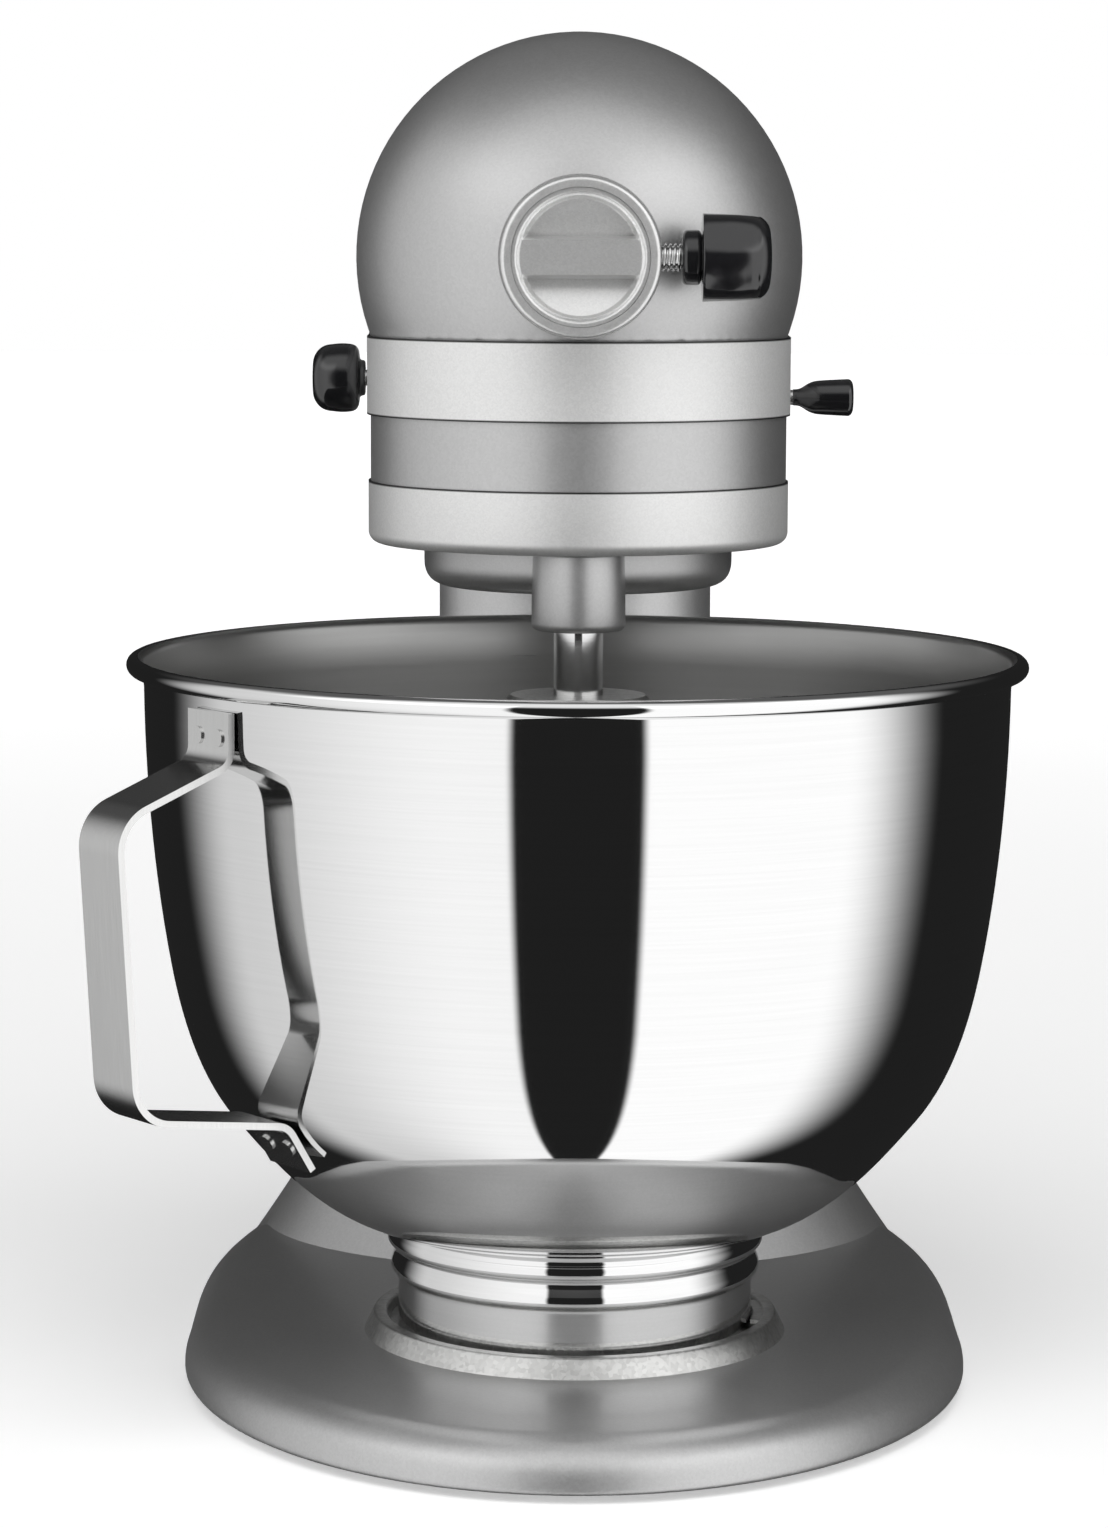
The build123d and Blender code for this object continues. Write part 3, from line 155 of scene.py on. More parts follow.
class Board:
    """A node tree that is written as expressions."""

    def __init__(self, tree):
        self.tree = tree
        tree.nodes.clear()

    def node(self, kind, settings=None, inputs=None, output=0):
        made = self.tree.nodes.new(kind)
        for key, value in (settings or {}).items():
            setattr(made, key, value)
        for key, value in (inputs or {}).items():
            if isinstance(value, Wire):
                self.tree.links.new(value.socket, made.inputs[key])
            else:
                made.inputs[key].default_value = value
        return Wire(self, made.outputs[output]) if made.outputs else made

    def point(self):
        """The object's own coordinates."""
        return self.node("ShaderNodeTexCoord", output="Object")

    def place(self):
        """The object's own coordinates, with their three parts."""
        point = self.point()
        return (point, *self.parts(point))

    def parts(self, vector):
        split = self.node("ShaderNodeSeparateXYZ", inputs={0: vector})
        return [Wire(self, out) for out in split.socket.node.outputs]

    def vector(self, x, y, z):
        return self.node("ShaderNodeCombineXYZ", inputs={0: x, 1: y, 2: z})

    def noise(self, point, scale, detail=2.0, roughness=0.5):
        inputs = {"Vector": point, "Scale": scale, "Detail": detail, "Roughness": roughness}
        return self.node("ShaderNodeTexNoise", inputs=inputs)

    def cells(self, point, scale):
        """A random shade for each grain of a fine mesh of grains."""
        colour = self.node("ShaderNodeTexVoronoi", inputs={"Vector": point, "Scale": scale}, output="Color")
        return self.parts(colour)[0]

    def blend(self, share, first, second):
        inputs = {0: share, 6: (*first, 1), 7: (*second, 1)}
        return self.node("ShaderNodeMix", {"data_type": "RGBA"}, inputs, output=2)

    def bump(self, height, strength, depth):
        inputs = {"Height": height, "Strength": strength, "Distance": depth}
        return self.node("ShaderNodeBump", inputs=inputs)

    def surface(self, **sockets):
        inputs = {key.replace("_", " "): value for key, value in sockets.items()}
        shader = self.node("ShaderNodeBsdfPrincipled", inputs=inputs)
        self.node("ShaderNodeOutputMaterial", inputs={"Surface": shader})


def new_finish(name):
    material = bpy.data.materials.new(name)
    material.use_nodes = True
    return material, Board(material.node_tree)


def shade(colour, share):
    return tuple(channel * share for channel in colour)


def light_studio():
    """White all round for the eye. For reflections, two tall soft panels with a dark gap between them
    at the front, and light from above."""
    world = bpy.data.worlds.new("studio")
    world.use_nodes = True
    bpy.context.scene.world = world
    board = Board(world.node_tree)
    direction = board.node("ShaderNodeTexCoord", output="Generated")
    x, y, z = board.parts(direction)
    bearing = board.node("ShaderNodeMath", {"operation": "ARCTAN2"}, {0: x, 1: 0 - y})
    other = 0 - bearing
    right = bearing.steps(*GAP_EDGE) * (1 - bearing.steps(*RIGHT_FADE))
    left = other.steps(*GAP_EDGE) * (1 - other.steps(*LEFT_FADE)) * (1 - other.steps(*LEFT_DIP) * DIP)
    height = 1 - z.steps(*PANEL_TOP)
    overhead = z.steps(*SKY_FOOT) * (SKY_LEVEL + (0 - y).steps(*SKY_FRONT) * SKY_FRONT_LEVEL)
    level = GAP_LEVEL + (left * LEFT_LEVEL + right * RIGHT_LEVEL) * height + overhead
    seen = board.node("ShaderNodeLightPath", output="Is Camera Ray")
    strength = seen + (1 - seen) * level
    back = board.node("ShaderNodeBackground", inputs={"Color": (1, 1, 1, 1), "Strength": strength})
    board.node("ShaderNodeOutputWorld", inputs={"Surface": back})


def soft_light(name, place, aim, size, power):
    data = bpy.data.lights.new(name, "AREA")
    data.shape = "DISK"
    data.size = size
    data.energy = power
    light = bpy.data.objects.new(name, data)
    bpy.context.scene.collection.objects.link(light)
    light.location = place
    light.visible_glossy = False
    light.rotation_euler = (Vector(aim) - Vector(place)).to_track_quat("-Z", "Y").to_euler()


def lay_floor():
    material, board = new_finish("pale_floor")
    point, x, y, z = board.place()
    tone = board.noise(point, 3.0)
    # Painted light: the floor glows, faintly near the mixer and more strongly further off, so the far floor
    # fades into the white around it.
    far = ((x * x + y * y) ** 0.5).steps(0.15, 3.0)
    board.surface(
        Base_Color=board.blend(tone, (0.86, 0.86, 0.86), (0.90, 0.90, 0.90)),
        Roughness=0.7,
        Emission_Color=board.blend(far, (0.30, 0.30, 0.30), (0.68, 0.68, 0.68)),
        Emission_Strength=1.0,
    )
    mesh = bpy.data.meshes.new("floor")
    work = bmesh.new()
    bmesh.ops.create_circle(work, cap_ends=True, segments=96, radius=FLOOR_RADIUS)
    work.to_mesh(mesh)
    work.free()
    floor = bpy.data.objects.new("floor", mesh)
    mesh.materials.append(material)
    bpy.context.scene.collection.objects.link(floor)
    floor.visible_glossy = False


light_studio()
soft_light("front_top", (0.0, -0.9, 1.5), (0, 0, 0.2), 1.1, 9)
lay_floor()


# ---------------------------------------------------------------- finishes

SEAM_SHADOW = (0.25 * MM, 0.65 * MM)        # how far from a seam its painted shadow line begins and ends to fade
# Painted shadow: the dark colour laid along each seam, standing in for the shade in the gap between pieces.
SEAM_SHADOW_COLOUR = (0.03, 0.03, 0.03, 1)
SHEET = 0.8 * MM            # one iron sheet of a stack
WIRE_PITCH = 0.9 * MM       # one turn of a winding


def satin_paint(name, colour, grain=1500.0, rough=0.34, seams=(), metallic=0.92):
    """Metallic paint: fine flakes, a faint orange peel and slow drifts of tone, with a painted shadow, a
    dark line, at the levels where another piece meets it."""
    material, board = new_finish(name)
    point, x, y, z = board.place()
    flake = board.cells(point, grain)
    drift = board.noise(point, 14.0, 3.0)
    tone = flake * 0.65 + drift * 0.35
    peel = board.noise(point, 420.0, 2.0)
    scuff = board.noise(point, 60.0, 6.0, 0.7).steps(0.62, 0.80)
    paint = board.blend(tone, shade(colour, 0.93), shade(colour, 1.06))
    for seam in seams:
        # Painted shadow: a dark line along each seam level, where the gap between pieces would be in shade.
        shadow = 1 - z.math("ABSOLUTE", z - seam).steps(*SEAM_SHADOW)
        inputs = {0: shadow, 6: paint, 7: SEAM_SHADOW_COLOUR}
        paint = board.node("ShaderNodeMix", {"data_type": "RGBA"}, inputs, output=2)
    board.surface(
        Base_Color=paint,
        Metallic=metallic,
        Roughness=rough + drift * 0.05 + flake * 0.04 + scuff * 0.04,
        Coat_Weight=0.22 - scuff * 0.06,
        Coat_Roughness=0.12,
        Normal=board.bump(peel * 0.7 + flake * 0.3, 0.05, 0.0001),
    )
    return material


def turned_steel(name, colour, rough, lines=900.0, line_depth=0.05, level=0.0):
    """Metal with fine lines that run round the vertical axis of the bowl."""
    material, board = new_finish(name)
    point, x, y, z = board.place()
    radius = (x * x + y * y) ** 0.5
    bearing = board.node("ShaderNodeMath", {"operation": "ARCTAN2"}, {0: y, 1: x})
    rings = board.noise(board.vector(radius * lines, bearing * 1.5, z * lines + level), 1.0, 3.0, 0.6)
    smear = board.noise(point, 24.0, 3.0)
    marks = board.noise(board.vector(radius * 60, bearing * 9, z * 300), 1.0, 5.0, 0.7).steps(0.66, 0.78)
    board.surface(
        Base_Color=board.blend(rings, shade(colour, 0.94), shade(colour, 1.04)),
        Metallic=1.0,
        Roughness=rough * (0.8 + rings * 0.4 + smear * 0.3) + marks * 0.03,
        Normal=board.bump(rings, line_depth, 0.00005),
    )
    return material


def brushed(name, colour, rough, along="Z", lines=1400.0, depth=0.10):
    """Metal brushed along one axis."""
    material, board = new_finish(name)
    point, x, y, z = board.place()
    slow = {axis: (12.0 if axis == along else lines) for axis in "XYZ"}
    grain = board.noise(board.vector(x * slow["X"], y * slow["Y"], z * slow["Z"]), 1.0, 3.0, 0.6)
    patch = board.noise(point, 35.0, 3.0)
    board.surface(
        Base_Color=board.blend(grain * 0.6 + patch * 0.4, shade(colour, 0.85), shade(colour, 1.08)),
        Metallic=1.0,
        Roughness=rough * (0.75 + grain * 0.35 + patch * 0.35),
        Normal=board.bump(grain, depth, 0.00006),
    )
    return material


def cast_metal(name, colour, rough, metallic=1.0, grain=700.0, depth=0.35):
    """Grainy cast or sintered metal."""
    material, board = new_finish(name)
    point = board.point()
    grit = board.cells(point, grain)
    cloud = board.noise(point, 90.0, 5.0, 0.65)
    board.surface(
        Base_Color=board.blend(grit * 0.5 + cloud * 0.5, shade(colour, 0.72), shade(colour, 1.12)),
        Metallic=metallic,
        Roughness=rough + cloud * 0.15,
        Normal=board.bump(grit * 0.5 + cloud * 0.5, depth, 0.00015),
    )
    return material


def moulded(name, colour, rough, coat=0.0, grain=600.0, depth=0.04):
    """Moulded plastic or rubber with a faint texture and handling marks."""
    material, board = new_finish(name)
    point = board.point()
    skin = board.noise(point, grain, 3.0)
    wear = board.noise(point, 110.0, 6.0, 0.7).steps(0.55, 0.80)
    board.surface(
        Base_Color=board.blend(wear, colour, shade(colour, 1.9)),
        Roughness=rough + skin * 0.05 + wear * 0.10,
        Coat_Weight=coat,
        Coat_Roughness=0.06,
        Normal=board.bump(skin, depth, 0.0001),
    )
    return material


def laminated(name, colour):
    """Stacked iron sheets, seen as fine lines along the stack."""
    material, board = new_finish(name)
    point, x, y, z = board.place()
    sheets = y.math("SINE", y * (2 * math.pi / SHEET)).steps(-0.4, 0.6)
    stain = board.noise(point, 80.0, 5.0)
    board.surface(
        Base_Color=board.blend(sheets * 0.6 + stain * 0.4, shade(colour, 0.45), shade(colour, 1.15)),
        Metallic=0.9,
        Roughness=0.42 + stain * 0.2,
        Normal=board.bump(sheets, 0.3, 0.0001),
    )
    return material


def wound(name, colour):
    """Enamelled wire in close turns."""
    material, board = new_finish(name)
    point, x, y, z = board.place()
    turns = x.math("SINE", (x + z) * (2 * math.pi / WIRE_PITCH)).steps(-0.7, 0.9)
    stain = board.noise(point, 120.0, 4.0)
    board.surface(
        Base_Color=board.blend(turns * 0.7 + stain * 0.3, shade(colour, 0.35), shade(colour, 1.10)),
        Metallic=0.85,
        Roughness=0.30 + stain * 0.15,
        Coat_Weight=0.5,
        Coat_Roughness=0.15,
        Normal=board.bump(turns, 0.5, 0.0002),
    )
    return material


band_seams = tuple(corner.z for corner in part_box("trim_band"))
drip_seam = (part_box("drip_ring")[1].z,)
finishes = {
    "body_paint": satin_paint("body_paint", (0.56, 0.56, 0.56), 1900.0, 0.38),
    "band_silver": satin_paint("band_silver", (0.80, 0.80, 0.795), 2400.0, 0.46, band_seams, 0.70),
    "drip_silver": satin_paint("drip_silver", (0.80, 0.80, 0.795), 2400.0, 0.44, drip_seam, 0.70),
    "hub_silver": satin_paint("hub_silver", (0.76, 0.76, 0.755), 2400.0, 0.34, (), 0.85),
    "bowl_steel": turned_steel("bowl_steel", (0.80, 0.80, 0.80), 0.035, 1200.0, 0.004),
    "handle_steel": brushed("handle_steel", (0.74, 0.74, 0.735), 0.17, "Z", 1600.0, 0.06),
    "clamp_metal": cast_metal("clamp_metal", (0.62, 0.62, 0.61), 0.30, 1.0, 900.0, 0.45),
    "bright_metal": brushed("bright_metal", (0.80, 0.80, 0.80), 0.09, "X", 1500.0, 0.04),
    "black_plastic": moulded("black_plastic", (0.009, 0.009, 0.010), 0.10, 0.6, 300.0, 0.02),
    "rubber": moulded("rubber", (0.020, 0.020, 0.021), 0.62, 0.0, 900.0, 0.25),
    "machined_steel": brushed("machined_steel", (0.60, 0.60, 0.60), 0.24, "Y", 1200.0, 0.12),
    "gear_steel": brushed("gear_steel", (0.50, 0.49, 0.47), 0.32, "Z", 1000.0, 0.15),
    "bronze": cast_metal("bronze", (0.60, 0.40, 0.19), 0.28, 1.0, 1300.0, 0.25),
    "lamination": laminated("lamination", (0.34, 0.34, 0.36)),
    "copper": wound("copper", (0.72, 0.34, 0.16)),
    "carbon": cast_metal("carbon", (0.05, 0.05, 0.05), 0.45, 0.2, 1500.0, 0.2),
    "board": moulded("board", (0.05, 0.14, 0.06), 0.40, 0.3, 500.0, 0.05),
    "zinc": cast_metal("zinc", (0.52, 0.52, 0.515), 0.38, 0.9, 500.0, 0.3),
}
# The inside is a darker copy of the outside's steel: painted shade within the bowl, on a rougher, brushed
# finish.
bowl_inside_painted_shade = turned_steel("bowl_inside_painted_shade", (0.46, 0.46, 0.455), 0.27, 800.0, 0.05, 5.0)

for node, thing in frame["nodes"].items():
    thing.data.materials.clear()
    thing.data.materials.append(finishes[slot_of[node]])


# ---------------------------------------------------------------- making pieces

def link(name, mesh, *materials):
    piece = bpy.data.objects.new(name, mesh)
    for material in materials:
        mesh.materials.append(material)
    bpy.context.scene.collection.objects.link(piece)
    return piece


def fit_in(piece, *nodes):
    """The piece stands for these nodes and takes their body."""
    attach(piece, body_of[nodes[0]])
    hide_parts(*nodes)
    return piece


def sharpen(work, limit):
    for face in work.faces:
        face.smooth = True
    for edge in work.edges:
        edge.smooth = len(edge.link_faces) == 2 and edge.calc_face_angle() < math.radians(limit)


def dressed(node, limit=28):
    """A node's own shape with its triangles joined, so that its curves shade smoothly."""
    mesh = frame["nodes"][node].data.copy()
    if "custom_normal" in mesh.attributes:
        mesh.attributes.remove(mesh.attributes["custom_normal"])
    work = bmesh.new()
    work.from_mesh(mesh)
    bmesh.ops.remove_doubles(work, verts=work.verts, dist=0.002 * MM)
    bmesh.ops.dissolve_degenerate(work, edges=work.edges, dist=0.001 * MM)
    sharpen(work, limit)
    work.to_mesh(mesh)
    work.free()
    mesh.materials.clear()
    return fit_in(link(node + "_dressed", mesh, finishes[slot_of[node]]), node)


def curve_through(points, steps, start=None, end=None):
    """A smooth line through a few points, with set directions at its ends."""
    points = [Vector(point) for point in points]
    gaps = [(b - a).length for a, b in zip(points, points[1:])]
    slopes = [(points[1] - points[0]) / gaps[0]]
    for i in range(1, len(points) - 1):
        slopes.append((points[i + 1] - points[i - 1]) / (gaps[i] + gaps[i - 1]))
    slopes.append((points[-1] - points[-2]) / gaps[-1])
    slopes[0] = Vector(start).normalized() if start else slopes[0]
    slopes[-1] = Vector(end).normalized() if end else slopes[-1]
    line = []
    for i, gap in enumerate(gaps):
        for k in range(steps):
            t = k / steps
            line.append(
                (2 * t ** 3 - 3 * t ** 2 + 1) * points[i] + (t ** 3 - 2 * t ** 2 + t) * gap * slopes[i]
                + (3 * t ** 2 - 2 * t ** 3) * points[i + 1] + (t ** 3 - t ** 2) * gap * slopes[i + 1]
            )
    return [tuple(point) for point in line] + [tuple(points[-1])]


def arc(centre, radius, start, sweep, steps=8):
    """Points round a centre, by angle in degrees."""
    angles = [math.radians(start + sweep * k / steps) for k in range(steps + 1)]
    return [(centre[0] + radius * math.cos(a), centre[1] + radius * math.sin(a)) for a in angles]


def eased(points, radius, steps=5):
    """A line's corners rounded; radius is one number, or one for each inner point."""
    count = len(points) - 2
    radii = radius if isinstance(radius, (list, tuple)) else [radius] * count
    line = [points[0]]
    for i, size in enumerate(radii, start=1):
        corner = Vector(points[i])
        before = (Vector(points[i - 1]) - corner)
        after = (Vector(points[i + 1]) - corner)
        cut = min(size, 0.49 * before.length, 0.49 * after.length)
        first = corner + before.normalized() * cut
        last = corner + after.normalized() * cut
        for k in range(steps + 1):
            t = k / steps
            line.append(tuple((1 - t) ** 2 * first + 2 * t * (1 - t) * corner + t ** 2 * last))
    return line + [points[-1]]


def turned(name, outline, materials, turns=160, closed=False, flute=None, limit=40, split_at=None):
    """A shape turned about Z from (radius, height) points in millimetres. flute(bearing, height)
    scales the radius. Faces after outline point split_at take the second material."""
    work = bmesh.new()
    rings = []
    for radius, height in outline:
        ring = []
        for k in range(turns):
            bearing = 2 * math.pi * k / turns
            reach = radius * (flute(bearing, height) if flute else 1) * MM
            ring.append(work.verts.new((reach * math.cos(bearing), reach * math.sin(bearing), height * MM)))
        rings.append(ring)
    pairs = list(zip(rings, rings[1:])) + ([(rings[-1], rings[0])] if closed else [])
    for index, (lower, upper) in enumerate(pairs):
        for k in range(turns):
            after = (k + 1) % turns
            face = work.faces.new((lower[k], lower[after], upper[after], upper[k]))
            face.material_index = 1 if split_at is not None and index >= split_at else 0
    bmesh.ops.remove_doubles(work, verts=work.verts, dist=0.001 * MM)
    bmesh.ops.recalc_face_normals(work, faces=work.faces)
    sharpen(work, limit)
    mesh = bpy.data.meshes.new(name)
    work.to_mesh(mesh)
    work.free()
    return link(name, mesh, *materials)


def set_on(piece, direction, place):
    """Turns a piece made along +Z to another direction, and moves it there."""
    turn = Vector(direction).to_track_quat("Z", "Y").to_matrix().to_4x4()
    piece.data.transform(Matrix.Translation(place) @ turn)
    return piece


# ---------------------------------------------------------------- bowl

bowl_low, bowl_high = (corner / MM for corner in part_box("bowl_shell"))
foot_low, foot_high = (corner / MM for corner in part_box("bowl_foot"))
RIM_BEAD = 2.3
BOWL_WALL = 0.9
FLOOR_EDGE = 50.0       # radius of the bowl's flat bottom
rim_outer = bowl_high.x
rim_height = bowl_high.z - RIM_BEAD
wall_radius = rim_outer - 2 * RIM_BEAD + 0.1
bowl_height = bowl_high.z - bowl_low.z


def bowl_wall(inset):
    points = [
        (FLOOR_EDGE, bowl_low.z + inset),
        (0.806 * wall_radius - 0.75 * inset, bowl_low.z + 0.199 * bowl_height + 0.6 * inset),
        (0.940 * wall_radius - inset, bowl_low.z + 0.455 * bowl_height),
        (wall_radius - inset, rim_height),
    ]
    return curve_through(points, 14, start=(1, 0.05), end=(0, 1))


def make_bowl():
    """One sheet of steel: polished outside, a rolled rim, brushed inside, darkened there with painted shade.
    """
    outer = [(0, bowl_low.z)] + bowl_wall(0)[:-1]
    rim = arc((wall_radius + RIM_BEAD - 0.1, rim_height), RIM_BEAD, 215, 325, 18)
    inner = bowl_wall(BOWL_WALL)[::-1][1:] + [(0, bowl_low.z + BOWL_WALL)]
    materials = (finishes["bowl_steel"], bowl_inside_painted_shade)
    bowl = turned("bowl_polished", outer + rim + inner, materials, 256, split_at=len(outer) + 14)
    fit_in(bowl, "bowl_shell")


def make_bowl_foot():
    """The stepped ring under the bowl, with two small beads above its ledge."""
    tall = foot_high.z - foot_low.z
    radius = 46.6
    ledge = foot_low.z + 0.50 * tall
    outline = eased([
        (radius - 0.9, foot_low.z), (radius, foot_low.z), (radius, ledge - 0.6), (radius + 1.9, ledge + 0.6),
        (radius + 2.0, ledge + 2.4), (radius + 0.9, ledge + 5.6), (radius + 0.9, ledge + 6.8),
        (radius + 2.9, ledge + 8.0), (radius + 3.0, ledge + 10.4), (radius + 2.2, ledge + 12.2),
        (FLOOR_EDGE - 0.4, foot_high.z), (FLOOR_EDGE - 2.4, foot_high.z), (radius - 1.4, ledge + 4.0),
        (radius - 0.9, foot_low.z),
    ], 1.2, 5)
    ring = turned("bowl_foot_ring", outline, (finishes["bowl_steel"],), 200, closed=True)
    fit_in(ring, "bowl_foot")


make_bowl()
make_bowl_foot()
for node in ("bowl_handle", "handle_welds", "bowl_clamp_plate", "clamp_plate_screws"):
    dressed(node)


# ---------------------------------------------------------------- stand and head shells

for node in (
    "base_casting", "rubber_feet", "hinge_pin", "lower_housing", "upper_housing", "rear_cover",
    "rear_cover_screw", "trim_band", "drip_ring", "hub_barrel", "beater_shaft",
    "whip_ferrule", "speed_lever", "lock_slider", "brush_caps", "cord_inlet",
):
    dressed(node)


# ---------------------------------------------------------------- planetary carrier and hub cap

def joined(name, material, *parts):
    """Several pieces of one material as a single mesh."""
    work = bmesh.new()
    for part in parts:
        work.from_mesh(part.data)
        bpy.data.objects.remove(part)
    mesh = bpy.data.meshes.new(name)
    work.to_mesh(mesh)
    work.free()
    return link(name, mesh, material)


def make_carrier():
    """The planetary's round body with a full lower edge, and the boss of the beater shaft."""
    low, high = (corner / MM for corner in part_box("planetary_carrier"))
    shaft = middle("beater_shaft") / MM
    radius = high.x
    boss = shaft.y - low.y
    paint = finishes["body_paint"]
    shaft_bore = 6.25
    axle_bore = 8.02
    floor = low.z + 8.0         # underside of the disc
    boss_top = high.z - 1.6
    disc = turned("carrier_disc", eased([
        (axle_bore, high.z), (radius, high.z), (radius, floor + 1.0), (radius - 12.0, floor),
        (axle_bore, floor), (axle_bore, high.z),
    ], [0.8, 9.5, 8.0, 0.5], 8), (paint,), 160)
    sleeve = turned("carrier_boss", eased([
        (shaft_bore, boss_top), (boss - 0.3, boss_top), (boss, floor), (boss, low.z), (shaft_bore, low.z),
        (shaft_bore, boss_top),
    ], [0.5, 3.0, 2.0, 0.5], 6), (paint,), 96)
    sleeve.data.transform(Matrix.Translation(Vector((shaft.x, shaft.y, 0)) * MM))
    fit_in(joined("carrier_cast", paint, disc, sleeve), "planetary_carrier")


def make_hub_cap():
    """A round cap with a level bar across it; a finger scoop above and below deepens to the bar."""
    low, high = (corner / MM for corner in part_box("hub_cap"))
    radius = (high.x - low.x) / 2
    centre = (low + high) / 2
    bar = 4.3               # half the bar's width
    bevel = 0.9             # how far the bar's edge slopes
    deepest = 5.2
    rim = radius - 1.9
    rim_wall = 0.8
    groove_depth = 0.35
    groove_width = 0.28
    rows, columns = 150, 96

    def depth(x, z):
        reach = math.hypot(x, z)
        away = max(0.0, abs(z) - bar)
        edge = min(1.0, away / bevel)
        slope = 1 - 0.80 * (away / (rim - bar)) ** 1.2 if away < rim - bar else 0.2
        wall = min(1.0, max(0.0, (rim - reach) / rim_wall))
        groove = groove_depth * math.exp(-((reach - rim - 0.55) / groove_width) ** 2)
        return deepest * edge * max(slope, 0.0) * wall * wall * (3 - 2 * wall) + groove

    work = bmesh.new()
    lines = []
    for i in range(rows + 1):
        z = -radius * math.cos(math.pi * i / rows)
        half = math.sqrt(max(radius * radius - z * z, 0))
        line = []
        for k in range(columns + 1):
            x = -half * math.cos(math.pi * k / columns)
            line.append(work.verts.new((x * MM, depth(x, z) * MM, z * MM)))
        lines.append(line)
    for lower, upper in zip(lines, lines[1:]):
        for k in range(columns):
            work.faces.new((lower[k], lower[k + 1], upper[k + 1], upper[k]))
    bmesh.ops.remove_doubles(work, verts=work.verts, dist=0.002 * MM)
    outer = [edge for edge in work.edges if len(edge.link_faces) == 1]
    pushed = bmesh.ops.extrude_edge_only(work, edges=outer)["geom"]
    fresh = [part for part in pushed if isinstance(part, bmesh.types.BMVert)]
    for vert in fresh:
        vert.co.y = (high.y - low.y) * MM
    work.faces.new(sorted(fresh, key=lambda vert: math.atan2(vert.co.z, vert.co.x)))
    bmesh.ops.recalc_face_normals(work, faces=work.faces)
    sharpen(work, 45)
    mesh = bpy.data.meshes.new("hub_cap_scooped")
    work.to_mesh(mesh)
    work.free()
    cap = link("hub_cap_scooped", mesh, finishes["hub_silver"])
    mesh.transform(Matrix.Translation(Vector((centre.x, low.y, centre.z)) * MM))
    fit_in(cap, "hub_cap")


make_carrier()
make_hub_cap()


# ---------------------------------------------------------------- geometry nodes

class Plan(Board):
    """A Geometry Nodes tree with named sizes."""

    def __init__(self, name, sizes):
        super().__init__(bpy.data.node_groups.new(name, "GeometryNodeTree"))
        self.tree.interface.new_socket("Geometry", in_out="OUTPUT", socket_type="NodeSocketGeometry")
        self.ids = {}
        for key, value in sizes.items():
            kind = "NodeSocketInt" if isinstance(value, int) else "NodeSocketFloat"
            socket = self.tree.interface.new_socket(key, in_out="INPUT", socket_type=kind)
            self.ids[key] = socket.identifier
        self.sizes = sizes
        self.source = self.tree.nodes.new("NodeGroupInput")

    def size(self, key):
        return Wire(self, self.source.outputs[key])

    def join(self, *parts):
        joined_parts = self.node("GeometryNodeJoinGeometry")
        for part in parts:
            self.tree.links.new(part.socket, joined_parts.socket.node.inputs[0])
        return joined_parts

    def build(self, name, geometry, material):
        """Realizes the tree's result as a plain mesh."""
        realized = self.node("GeometryNodeRealizeInstances", inputs={"Geometry": geometry})
        painted = self.node("GeometryNodeSetMaterial", inputs={"Geometry": realized, "Material": material})
        sink = self.tree.nodes.new("NodeGroupOutput")
        self.tree.links.new(painted.socket, sink.inputs[0])
        blank = link(name + "_plan", bpy.data.meshes.new(name + "_plan"))
        modifier = blank.modifiers.new("plan", "NODES")
        modifier.node_group = self.tree
        for key, value in self.sizes.items():
            modifier[self.ids[key]] = value
        seen = blank.evaluated_get(bpy.context.evaluated_depsgraph_get())
        mesh = bpy.data.meshes.new_from_object(seen)
        mesh.name = name
        blank.modifiers.remove(modifier)
        bpy.data.objects.remove(blank)
        return link(name, mesh)


def make_whip():
    """Wire loops that fan out from the ferrule and cross at the bottom, each a little lower."""
    low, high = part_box("whip_wires")
    centre = (low + high) / 2
    sizes = {
        "Loops": 6, "Reach": (high.x - low.x) / 2 - MM, "Drop": high.z - low.z - 6 * MM,
        "Neck": 10 * MM, "Wire": 1.0 * MM, "Stagger": 0.016,
    }
    plan = Plan("whip_loops", sizes)
    reach, drop, neck = plan.size("Reach"), plan.size("Drop"), plan.size("Neck")
    half = plan.node("GeometryNodeCurvePrimitiveBezierSegment", {"mode": "POSITION"}, {
        "Resolution": 28,
        "Start": plan.vector(neck, 0.0, 0.0),
        "Start Handle": plan.vector(reach * 1.05, 0.0, drop * -0.34),
        "End Handle": plan.vector(reach * 1.36, 0.0, drop * -1.02),
        "End": plan.vector(0.0, 0.0, drop * -1.0),
    })
    tilt = plan.vector(0.0, 0.0, math.pi)
    other = plan.node("GeometryNodeTransform", inputs={"Geometry": half, "Rotation": tilt})
    loop = plan.join(half, other)
    section = plan.node("GeometryNodeCurvePrimitiveCircle", inputs={
        "Resolution": 10, "Radius": plan.size("Wire"),
    })
    wire = plan.node("GeometryNodeCurveToMesh", inputs={
        "Curve": loop, "Profile Curve": section, "Fill Caps": True,
    })
    spots = plan.node("GeometryNodeMeshLine", inputs={"Count": plan.size("Loops"), "Offset": (0, 0, 0)})
    index = plan.node("GeometryNodeInputIndex")
    turn = plan.vector(0.0, 0.0, index * math.pi / plan.size("Loops"))
    scale = plan.vector(1.0, 1.0, 1 + index * plan.size("Stagger"))
    rings = plan.node("GeometryNodeInstanceOnPoints", inputs={
        "Points": spots, "Instance": wire, "Rotation": turn, "Scale": scale,
    })
    smooth = plan.node("GeometryNodeSetShadeSmooth", inputs={0: rings})
    whip = plan.build("whip_wire_loops", smooth, finishes["bright_metal"])
    whip.data.transform(Matrix.Translation((centre.x, centre.y, high.z)))
    fit_in(whip, "whip_wires")


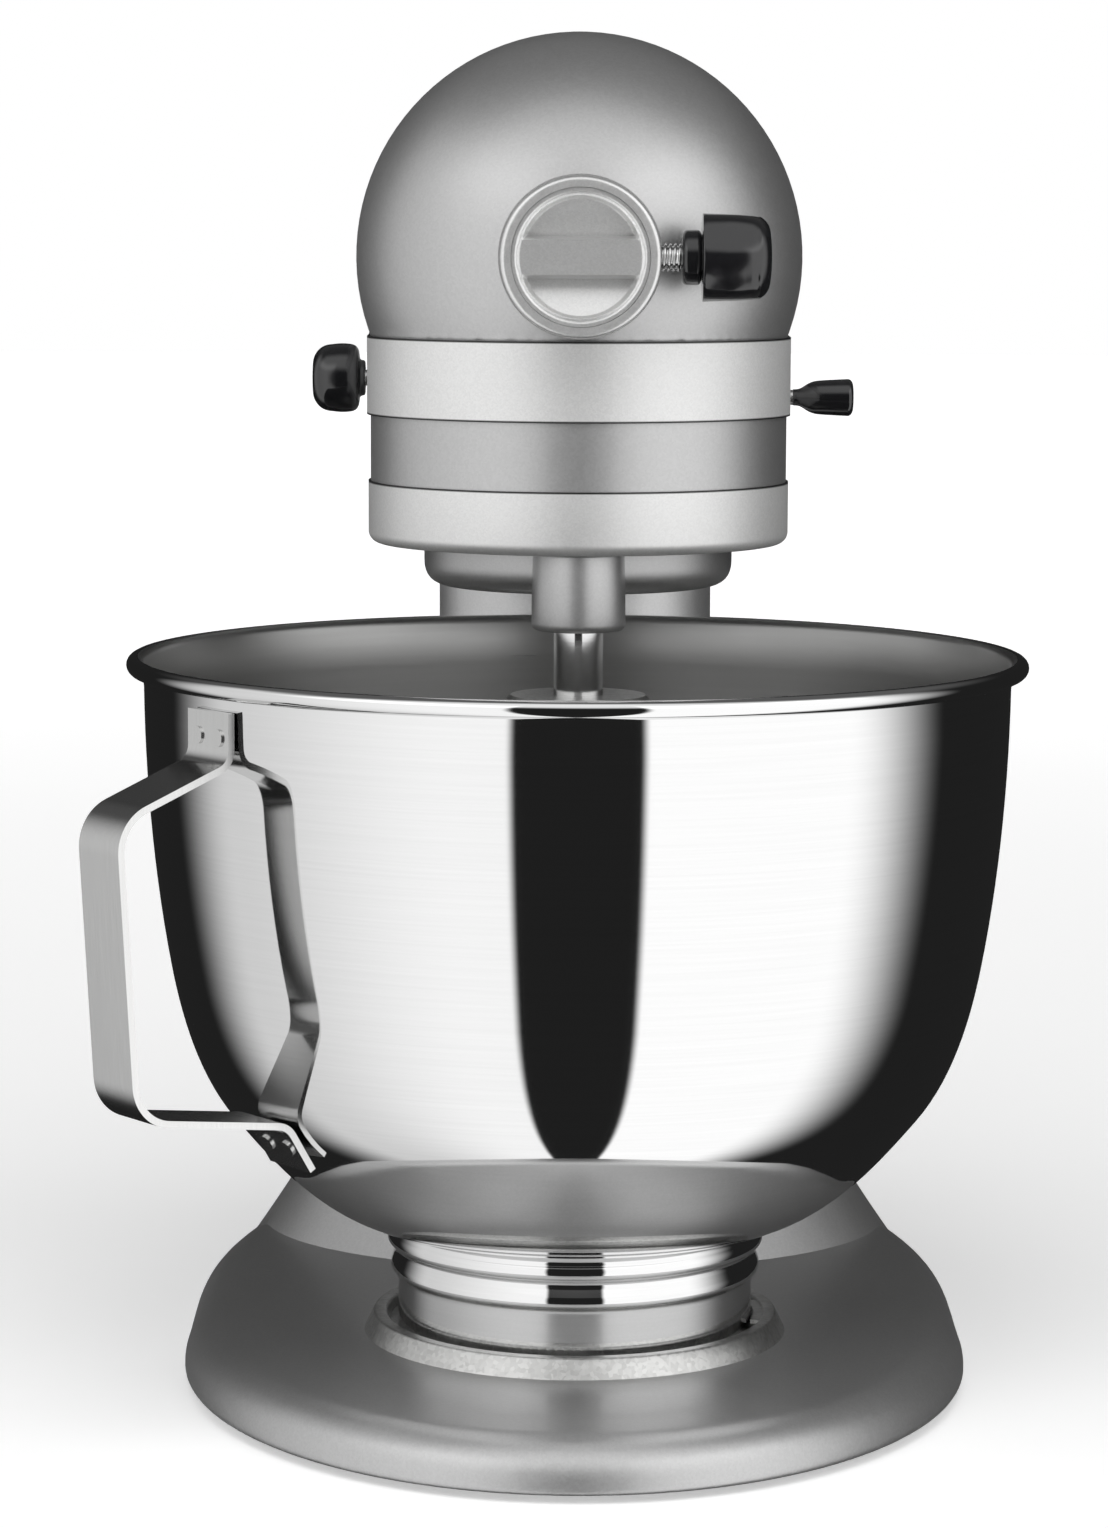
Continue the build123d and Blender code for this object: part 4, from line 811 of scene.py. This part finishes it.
def make_thumb_screw():
    """A plain core with a rolled thread wound on it, along +X."""
    low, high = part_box("hub_thumb_screw")
    centre = (low + high) / 2
    core = (high.z - low.z) / 2
    length = high.x - low.x
    sizes = {"Core": core * 0.86, "Crest": core * 0.94, "Length": length, "Turns": length / (1.25 * MM)}
    plan = Plan("thumb_screw", sizes)
    body = plan.node("GeometryNodeMeshCylinder", inputs={
        "Vertices": 48, "Radius": plan.size("Core"), "Depth": plan.size("Length"),
    })
    spiral = plan.node("GeometryNodeCurveSpiral", inputs={
        "Resolution": 32, "Rotations": plan.size("Turns"), "Start Radius": plan.size("Crest"),
        "End Radius": plan.size("Crest"), "Height": plan.size("Length") * 0.97,
    })
    section = plan.node("GeometryNodeCurvePrimitiveCircle", inputs={"Resolution": 6, "Radius": 0.42 * MM})
    thread = plan.node("GeometryNodeCurveToMesh", inputs={
        "Curve": spiral, "Profile Curve": section, "Fill Caps": True,
    })
    lowered = plan.node("GeometryNodeTransform", inputs={
        "Geometry": thread, "Translation": plan.vector(0.0, 0.0, plan.size("Length") * -0.485),
    })
    smooth = plan.node("GeometryNodeSetShadeSmooth", inputs={0: plan.join(body, lowered)})
    screw = plan.build("hub_screw_thread", smooth, finishes["bright_metal"])
    fit_in(set_on(screw, (1, 0, 0), centre), "hub_thumb_screw")


make_whip()
make_thumb_screw()


# ---------------------------------------------------------------- knobs

def knob_size(node):
    """A knob's radius and its length along X, in millimetres."""
    low, high = (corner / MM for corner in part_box(node))
    return (high.z - low.z) / 2, high.x - low.x


def seat_knob(knob, node, side):
    """Lays a knob on its side. It points to +X or -X from the inner end of the node's box."""
    low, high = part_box(node)
    seat = (low + high) / 2
    seat.x = low.x if side > 0 else high.x
    fit_in(set_on(knob, (side, 0, 0), seat), node)


def lobes(count, depth, low, high):
    """Scallops round a grip, which fade out at its two ends."""
    def scale(bearing, height):
        t = min(max((height - low) / (high - low), 0), 1)
        return 1 - depth * (4 * t * (1 - t)) ** 0.35 * abs(math.sin(count * bearing / 2)) ** 2
    return scale


def make_hub_knob():
    """A black grip with scallops between its lobes, on a round collar."""
    radius, long = knob_size("hub_knob")
    collar = 0.60 * radius
    outline = eased([
        (0, 0), (0.36 * radius, 0), (collar, 0.4), (collar, 0.20 * long), (0.50 * radius, 0.23 * long),
        (0.99 * radius, 0.235 * long), (radius, 0.26 * long), (radius, 0.60 * long),
        (0.94 * radius, 0.84 * long), (0.74 * radius, 0.97 * long), (0.36 * radius, long), (0, long),
    ], [0.4, 1.4, 1.0, 0.5, 0.3, 0.4, 3.6, 3.2, 3.0, 2.0], 9)
    knob = turned("hub_knob_grip", outline, (finishes["black_plastic"],), 192, limit=50,
                  flute=lobes(6, 0.07, 0.22 * long, 0.86 * long))
    seat_knob(knob, "hub_knob", 1)


def make_speed_knob():
    """A black barrel with rounded ends on the speed lever."""
    radius, long = knob_size("speed_knob")
    outline = eased([
        (0, 0), (0.50 * radius, 0), (0.52 * radius, 0.10 * long), (0.94 * radius, 0.14 * long),
        (radius, 0.42 * long), (0.93 * radius, 0.82 * long), (0.62 * radius, long), (0, long),
    ], [0.6, 0.8, 2.4, 4.0, 4.0, 3.6], 8)
    knob = turned("speed_knob_grip", outline, (finishes["black_plastic"],), 160, limit=50)
    seat_knob(knob, "speed_knob", -1)


def make_lock_knob():
    """A small black knob with a waist, on the head lock."""
    radius, long = knob_size("lock_knob")
    outline = eased([
        (0, 0), (0.40 * radius, 0), (0.42 * radius, 0.12 * long), (0.82 * radius, 0.32 * long),
        (0.88 * radius, 0.60 * long), (0.93 * radius, 0.95 * long), (0.70 * radius, long), (0, long),
    ], [0.4, 1.0, 2.2, 1.6, 1.6, 1.0], 7)
    knob = turned("lock_knob_grip", outline, (finishes["black_plastic"],), 128, limit=50)
    seat_knob(knob, "lock_knob", 1)


make_hub_knob()
make_speed_knob()
make_lock_knob()
